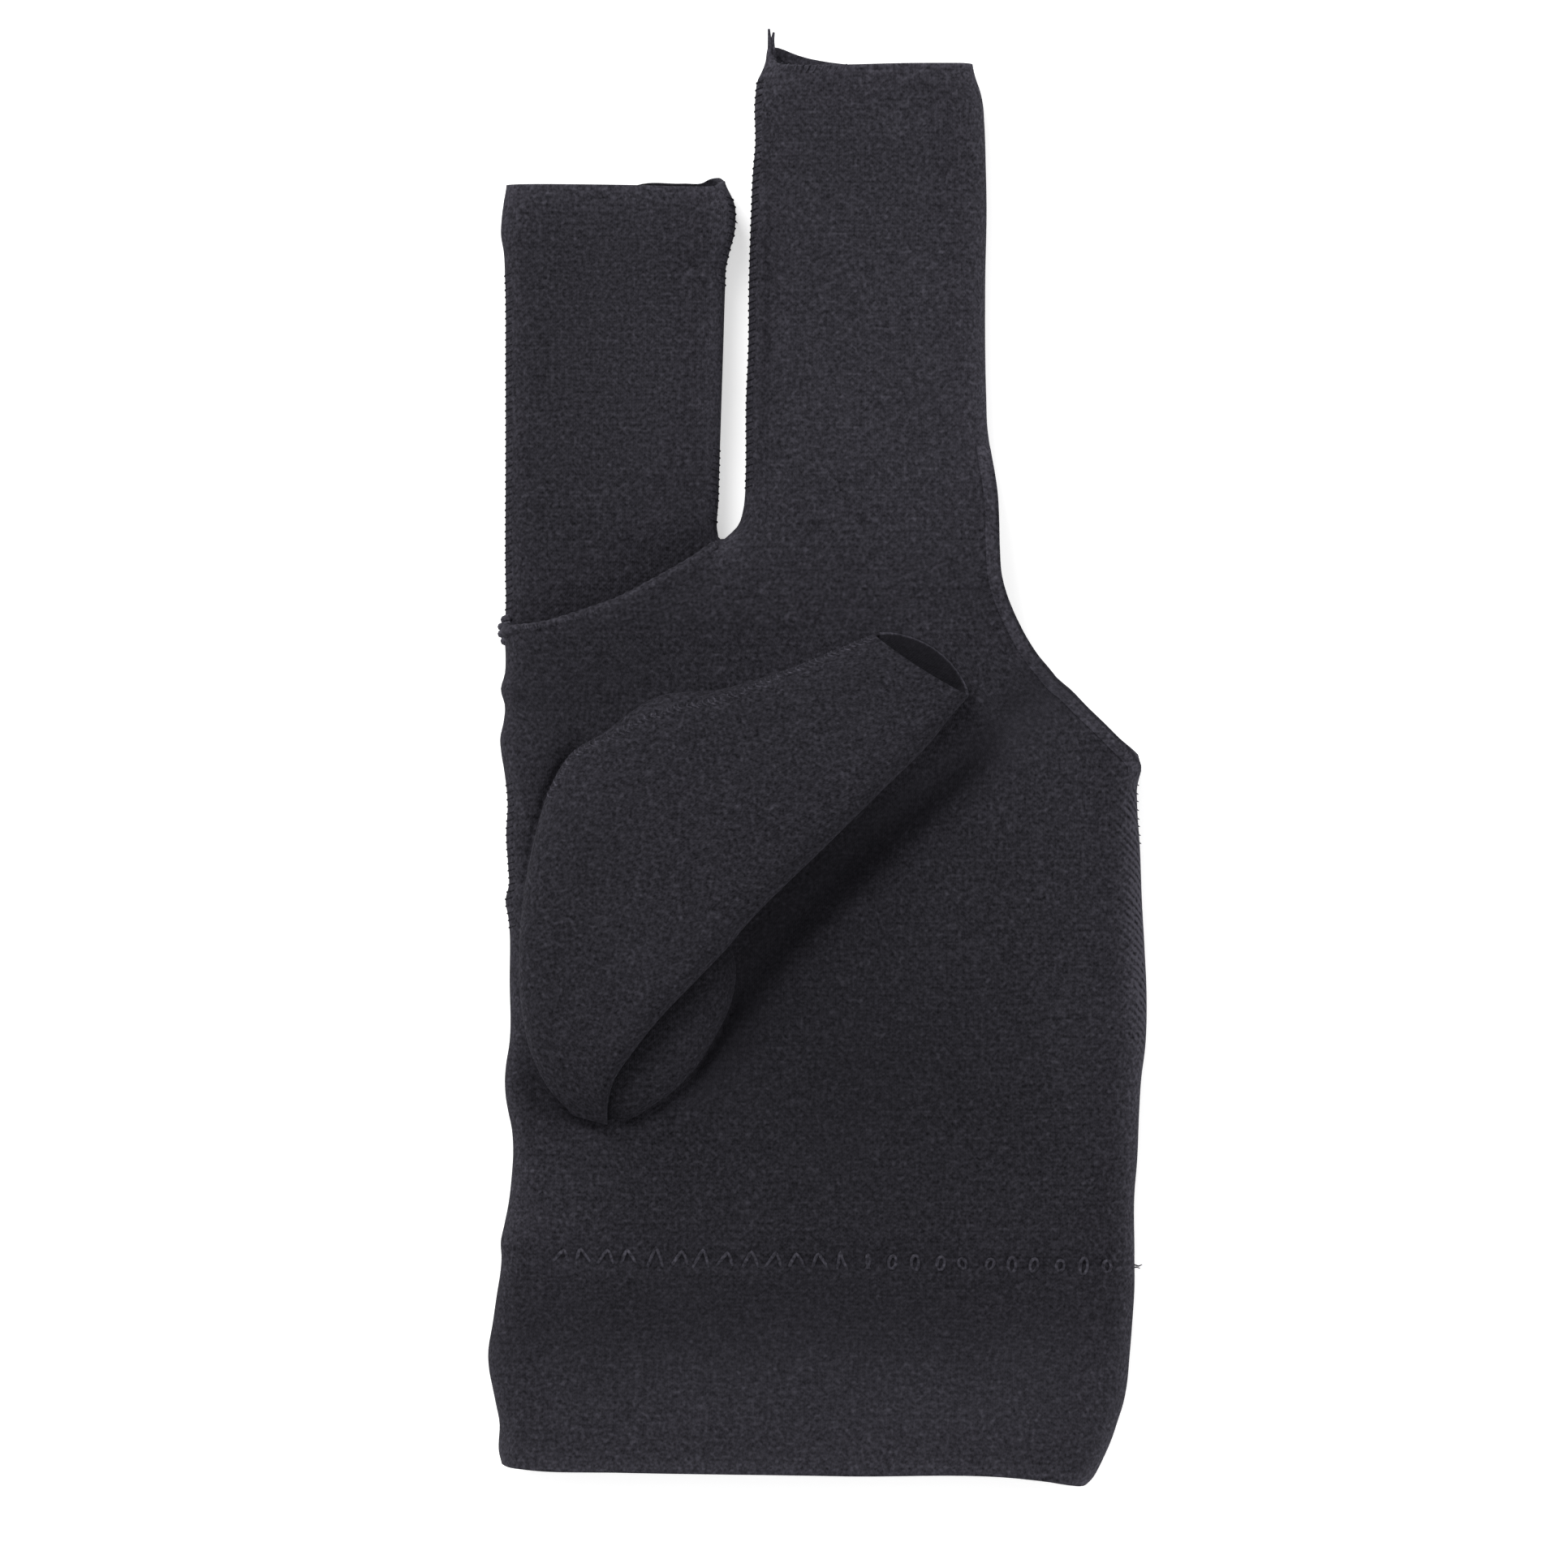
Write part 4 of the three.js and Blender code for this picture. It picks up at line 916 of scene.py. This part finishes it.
# painted highlight along the hem of the opening
SIDE_HIGHLIGHT = 0.44
SIDE_GAP, SIDE_GAP_REACH = 0.05, 4.0  # kept between the two layers' hems, less near the fold
RUN_STEPS = 7
SIDE_ROWS = 120
side_y = np.linspace(OPEN_LOW, OPEN_HIGH, SIDE_ROWS)
side_xy = np.stack([through(SIDE_EDGE, side_y), side_y], axis=1)
side_heading = np.gradient(side_xy, axis=0)
side_heading /= np.linalg.norm(side_heading, axis=1)[:, None]
side_inward = np.stack([-side_heading[:, 1], side_heading[:, 0]], axis=1)


def side_strip(level, outward):
    """Closed band along one layer's free edge: its profile runs out on the face that shows, round the
    edge, and back in on the hidden face."""
    turn = np.linspace(0, np.pi, RIM_STEPS + 1)
    radius = HEM_WALL / 2
    straight = np.linspace(SIDE_HEM_WIDTH, radius, RUN_STEPS, endpoint=False)
    reach = np.concatenate([straight, radius - radius * np.sin(turn), straight[::-1]])
    depth = np.concatenate([0 * straight, radius - radius * np.cos(turn), HEM_WALL + 0 * straight])
    place = side_xy[:, None] + reach[None, :, None] * side_inward[:, None]
    x, y = place[..., 0], place[..., 1]
    distance = fold_distance(x, y)
    z = level(x, y, distance) + outward * (SIDE_HEM_PROUD - depth)
    mid = MID_SHARE * cloth_top(x, y)
    gap = SIDE_GAP * np.clip(distance / SIDE_GAP_REACH, 0.05, 1)
    z = np.maximum(z, mid + gap) if outward > 0 else np.maximum(np.minimum(z, mid - gap), 0)
    return np.stack([x, y, z], axis=-1)


strip_points, strip_faces, strip_cloth = [], [], []
for number, (level, outward) in enumerate([(front_level, 1), (back_level, -1)]):
    strip = side_strip(level, outward)
    wrapped = close_ring(strip)
    numbers = close_ring(number * strip[..., 0].size + np.arange(strip[..., 0].size).reshape(strip.shape[:2]))
    grid = np.arange(numbers.size).reshape(numbers.shape)
    cloth = np.stack([run_length(wrapped, 1), run_length(wrapped, 0)], axis=-1).reshape(-1, 2)
    is_upper = outward > 0
    for table, kept in ((numbers, strip_faces), (grid, strip_cloth)):
        made = [quads(table, flip=not is_upper), end_cap(table[0, :-1], is_upper),
                end_cap(table[-1, :-1], not is_upper)]
        kept.append(np.concatenate(made))
    strip_cloth[-1] = cloth[strip_cloth[-1]]
    strip_points.append(strip.reshape(-1, 3))
side_points = np.concatenate(strip_points)
side_marks = painted_shading_marks(side_points[:, 0], side_points[:, 1])
# painted highlight on the hem
side_marks["nap"] += SIDE_HIGHLIGHT
keep_corners(add_piece("side_hem_band", side_points, np.concatenate(strip_faces), np.concatenate(strip_cloth),
                       HEM_KNIT, node="side_hem", slot="hem_knit", **side_marks))


# Sewing thread. Fine twisted polyester, a little lighter and smoother than the knit. It holds the cuff's
# hem as a row of zigzags, wraps the seams and mouths as overlock loops, and hangs loose in short ends.
ZIGZAG_RADIUS = 0.26
ZIGZAG_PITCH = 3.5
ZIGZAG_HEIGHT = 1.15
ZIGZAG_HALF_WIDTH = 1.15
ZIGZAG_FIRST, ZIGZAG_LAST = -38.0, 45.0
ZIGZAG_POWER = 1.25  # above 1, so that each stitch is a little rounded at its peak
ZIGZAG_CURLS = (0, 12)  # x where the zigzags start to turn into loops, and where they all are
CURL_HALF_WIDTH, CURL_HEIGHT = 0.55, 0.85  # of those loops, in millimetres and as a share of the height
ZIGZAG_SHIFT = 0.2  # in y, from the join to the row's middle
ZIGZAG_SUNK = 0.16  # depth of a stitch's ends in the cloth
ZIGZAG_ARCH, ZIGZAG_WOBBLE = 0.28, 0.1  # how far its middle stands over its ends, and its slack
LOOP_PITCH = 1.05
LOOP_REACH = 1.0
LOOP_RADIUS = 0.1
LOOP_POINTS = 13
LOOP_SLANT = 0.35  # along the edge, on each side of it
LOOP_LIFT = 0.02  # of a loop's centre line over the cloth
LOOSE_RADIUS = 0.16
TUFT_RADIUS = 0.5
TUFT_ENDS = 4  # the first of the loose ends, which are thick and fluffy
OVERSEW_FIRST, OVERSEW_LAST = -45.0, -30.0
OVERSEW_PITCH = 0.7
OVERSEW_RADIUS = 0.13
LIP_THREAD_RADIUS = 0.2
LIP_THREAD_POINTS = 60
STRETCHED_LINE = [  # place along the thumb in rows of its table, and distance in from its left edge
    (0, 0.5), (1.4, 0.6), (2.2, 0.8), (3, 1.9), (3.6, 3.0), (4, 3.0), (4.5, 2.0), (5, 1.1), (5.6, 0.7),
    (7.4, 0.5),
]
VEE_PITCH = 0.9
VEE_LENGTH = 0.4
VEE_HALF_WIDTH = 0.75
VEE_RADIUS = 0.18
KNOT_LOOP_RADIUS = 0.6
KNOT_LOOP_PROUD = [0.0, 0.42, 0.48, 0.1]  # how far each loop of the seam's knot stands off the fold

THREAD = knit_material("thread", lightness=2.3, wale=0.3, course=0.25)
rng = np.random.default_rng(23)


def jitter(low, high, like):
    """One random number between two limits for each row of an array."""
    return rng.uniform(low, high, like.shape)


bottoms = np.arange(ZIGZAG_FIRST, ZIGZAG_LAST, ZIGZAG_PITCH)[:, None]
t = np.linspace(0, 1, 15)[None, :]
curl = smoothstep(*ZIGZAG_CURLS, bottoms)
bottoms = bottoms + jitter(-0.35, 0.35, bottoms)
lean = jitter(-0.5, 0.5, bottoms)
tall = ZIGZAG_HEIGHT * jitter(0.7, 1.25, bottoms)
point_x = ZIGZAG_HALF_WIDTH * (2 * t - 1)
curl_x = CURL_HALF_WIDTH * np.sin(2 * np.pi * t)
stitch_x = bottoms + (1 - curl) * point_x + curl * curl_x + lean * np.sin(np.pi * t)
point_y = 1 - 2 * np.abs(2 * t - 1) ** ZIGZAG_POWER
curl_y = -CURL_HEIGHT * np.cos(2 * np.pi * t)
stitch_y = join_height(bottoms) + ZIGZAG_SHIFT + tall * ((1 - curl) * point_y + curl * curl_y)
stitch_z = front_level(stitch_x, stitch_y, fold_distance(stitch_x, stitch_y)) - ZIGZAG_SUNK
stitch_z = stitch_z + ZIGZAG_ARCH * np.sqrt(np.abs(np.sin(np.pi * t)))
stitch_z = stitch_z + ZIGZAG_WOBBLE * np.sin(2 * np.pi * (2 * t + lean))
add_threads("cuff_zigzag_thread", np.stack([stitch_x, stitch_y, stitch_z], axis=-1), ZIGZAG_RADIUS, THREAD,
            slot="hem_knit")


def edge_loops(fold, low, high, inward, top, proud=0.06):
    """Overlock loops round a folded edge: each goes from the lower layer over the fold to the upper one."""
    y = np.arange(low, high, LOOP_PITCH)[:, None]
    u = np.linspace(-1, 1, LOOP_POINTS)[None, :]
    distance = LOOP_REACH * np.abs(u) ** 1.5
    x = through(fold, y) + inward * (distance - proud * (1 - np.abs(u)))
    y = y + LOOP_SLANT * u
    z = np.where(u > 0, *layers(top(x, y), distance, floor=LOOP_RADIUS)) + LOOP_LIFT
    return np.stack([x, y, z], axis=-1)


def mouth_loops(edge, first, last, top):
    """Overlock loops over the front edge of a mouth: a short run on the outer face and round the rim."""
    x = np.arange(first, last, LOOP_PITCH)[:, None]
    turn = np.linspace(-1.2, 1.7, LOOP_POINTS)[None, :]
    radius = HEM_RIM / 2
    y = through(edge, x) - radius + radius * np.where(turn > 0, np.sin(turn), turn)
    z = top(x, y) + HEM_PROUD - radius + (radius + LOOP_LIFT) * np.where(turn > 0, np.cos(turn), 1)
    return np.stack([x + 0.3 * turn, y, z], axis=-1)


loops = np.concatenate([
    edge_loops(MIDDLE_LEFT, 41, 101, 1, cloth_top),
    edge_loops(INDEX_RIGHT, 36, 47, -1, index_top),
    edge_loops(INDEX_RIGHT, 71, 84.5, -1, index_top),
    edge_loops(INDEX_LEFT, 23, 73, 1, index_top),
    edge_loops(LEFT_FOLD, -24, -2, 1, cloth_top),
])
add_threads("side_seam_overlock", loops, LOOP_RADIUS, KNIT, reference=(0, 1, 0))
add_threads("mouth_overlock", mouth_loops(MIDDLE_FRONT_EDGE, -5.6, 4.5, cloth_top), LOOP_RADIUS, THREAD,
            reference=(1, 0, 0), slot="hem_knit")

knots = np.arange(OVERSEW_FIRST, OVERSEW_LAST, OVERSEW_PITCH)[:, None]
knots = knots + jitter(-0.35, 0.35, knots)
turn = jitter(-0.9, 0.4, knots) + np.linspace(-0.4, 0.4, 7)[None, :]
over_y = np.interp(knots, ridge_x, ridge_y) + SEAM_RADIUS * np.sin(turn)
over_z = np.interp(knots, ridge_x, ridge_z) + SEAM_RADIUS * np.cos(turn)
add_threads("index_seam_oversewing", np.stack([knots - 0.3 * turn, over_y, over_z], axis=-1), OVERSEW_RADIUS,
            THREAD, slot="hem_knit")
knot_loops = edge_loops(INDEX_LEFT, 18.4, 22.3, 1, index_top, np.array(KNOT_LOOP_PROUD)[:, None])
add_threads("index_seam_knot", knot_loops, KNOT_LOOP_RADIUS, THREAD, reference=(0, 1, 0), sides=8,
            slot="hem_knit")

lip_share = np.linspace(0.03, 0.97, LIP_THREAD_POINTS)
is_upper_lip = np.zeros(LIP_THREAD_POINTS, bool)
lip_line = thumb_points(np.array([0.02]), lip_share, is_upper_lip, rim_radius, np.array([[THUMB_LIP]]))
add_threads("thumb_mouth_thread", lip_line, LIP_THREAD_RADIUS, THREAD, slot="hem_knit")


def on_thumb(at, inset):
    """Points on the thumb's upper face, from places along it and distances in from its left edge."""
    left_x, left_y, right_x, right_y = thumb_row(at.ravel())[:4]
    share = inset.reshape(-1, 1) / np.hypot(right_x - left_x, right_y - left_y)
    return thumb_points(at.ravel(), share, True, 0, 0).reshape(at.shape + (3,))


vee_line_at = np.linspace(0.1, 7.2, 300)
vee_line = on_thumb(vee_line_at, through(STRETCHED_LINE, vee_line_at))
vee_run = run_length(vee_line, 0)
vees = np.arange(2 * VEE_LENGTH, vee_run[-1], VEE_PITCH)[:, None]
vees = vees + jitter(-0.2, 0.2, vees)
t = np.linspace(-1, 1, 7)[None, :]
vee_at = np.interp(vees - VEE_LENGTH * np.abs(t), vee_run, vee_line_at)
vee_across = VEE_HALF_WIDTH * jitter(0.5, 1.1, vees) * t + jitter(-0.15, 0.15, vees)
vee_points = on_thumb(vee_at, np.maximum(through(STRETCHED_LINE, vee_at) + vee_across, 0.02))
vee_radius = VEE_RADIUS * jitter(0.7, 1.3, vees) * (1 - 0.5 * t**2)
add_threads("thumb_stretched_stitches", vee_points, vee_radius, THREAD, slot="knit")


LOOSE_ENDS = [  # points (x, y, z): four at the middle tube's mouth, two at the cuff, one on the index tube
    [(-7.0, 103.6, 4.4), (-7.0, 105.6, 4.4), (-7.05, 107.2, 4.2), (-7.15, 108.9, 3.6)],
    [(-6.5, 103.8, 4.0), (-6.6, 105.8, 4.0), (-6.6, 107.2, 3.8), (-6.45, 108.4, 3.2)],
    [(-7.2, 103.8, 3.6), (-7.1, 105.4, 3.8), (-6.9, 106.6, 3.4), (-7.1, 107.7, 3.0)],
    [(-6.7, 104.2, 3.6), (-6.75, 105.6, 3.6), (-6.8, 106.5, 3.0), (-6.6, 107.4, 2.4)],
    [(45.6, -73.7, 6.0), (46.8, -73.8, 5.2), (47.5, -74.0, 4.8), (48.0, -73.8, 4.4)],
    [(45.4, -74.3, 5.8), (46.6, -74.2, 5.0), (47.3, -74.2, 4.4), (47.7, -74.4, 4.0)],
    [(-13.2, 81.2, 6.0), (-12.3, 80.6, 4.6), (-12.0, 80.3, 4.0), (-11.8, 80.2, 3.6)],
]
FOLD_TIPS = (-2.9, -4.2, -5.3, -6.6, -7.9, -9.0, -10.3, -11.5)  # y of short ends on the right fold
LOOSE_POINTS = 12
tips = []
for tip_y in FOLD_TIPS:
    tip_x = float(through(RIGHT_FOLD, tip_y))
    tips.append([(tip_x - 0.5, tip_y + 0.2, 5.0), (tip_x - 0.2, tip_y + 0.1, 4.5),
                 (tip_x + 0.05, tip_y, 4.2), (tip_x + 0.2, tip_y - 0.1, 4.0)])
ends = [np.stack(at_rows(points, np.linspace(0, len(points) - 1, LOOSE_POINTS)), axis=1)
        for points in LOOSE_ENDS + tips]
base_radius = np.where(np.arange(len(ends)) < TUFT_ENDS, TUFT_RADIUS, LOOSE_RADIUS)[:, None]
add_threads("loose_thread_ends", ends, base_radius * np.linspace(1, 0.4, LOOSE_POINTS)[None, :], THREAD,
            reference=(0.3, 0.2, 1), slot="hem_knit")


# Table and light. A pale matt table, a broad soft light beyond the fingertips and to the left, and an
# even white surround.
TABLE_SIZE = 3000.0
TABLE_DROP = 0.05  # below the glove's flat back
TABLE_WHITE, TABLE_GLOW = 0.9, 0.45
SURROUND_STRENGTH = 0.75
half = TABLE_SIZE / 2 * MM
table = bpy.data.objects.new("table", bpy.data.meshes.new("table"))
table.data.from_pydata([(x, y, -TABLE_DROP * MM) for x, y in ((-half, -half), (half, -half), (half, half),
                                                              (-half, half))], [], [(0, 1, 2, 3)])
paint = bpy.data.materials.new("table")
paint.use_nodes = True
paint_shader = paint.node_tree.nodes["Principled BSDF"]
paint_shader.inputs["Base Color"].default_value = [TABLE_WHITE] * 3 + [1]
paint_shader.inputs["Roughness"].default_value = 0.9
paint_shader.inputs["Emission Color"].default_value = (1, 1, 1, 1)
paint_shader.inputs["Emission Strength"].default_value = TABLE_GLOW
table.data.materials.append(paint)
bpy.context.scene.collection.objects.link(table)


def add_light(name, place, size, power):
    """Square area light of a size in millimetres that faces the glove."""
    light = bpy.data.objects.new(name, bpy.data.lights.new(name, "AREA"))
    light.data.size = size * MM
    light.data.energy = power
    light.location = [c * MM for c in place]
    light.rotation_euler = (-light.location).to_track_quat("-Z", "Y").to_euler()
    bpy.context.scene.collection.objects.link(light)


add_light("key_light", (-480, 850, 720), 600, 14)
add_light("fill_light", (700, -500, 420), 500, 3.0)
world = bpy.data.worlds.new("surround")
world.use_nodes = True
world.node_tree.nodes["Background"].inputs["Color"].default_value = (1, 1, 1, 1)
world.node_tree.nodes["Background"].inputs["Strength"].default_value = SURROUND_STRENGTH
bpy.context.scene.world = world
bpy.context.scene.view_settings.view_transform = "Standard"
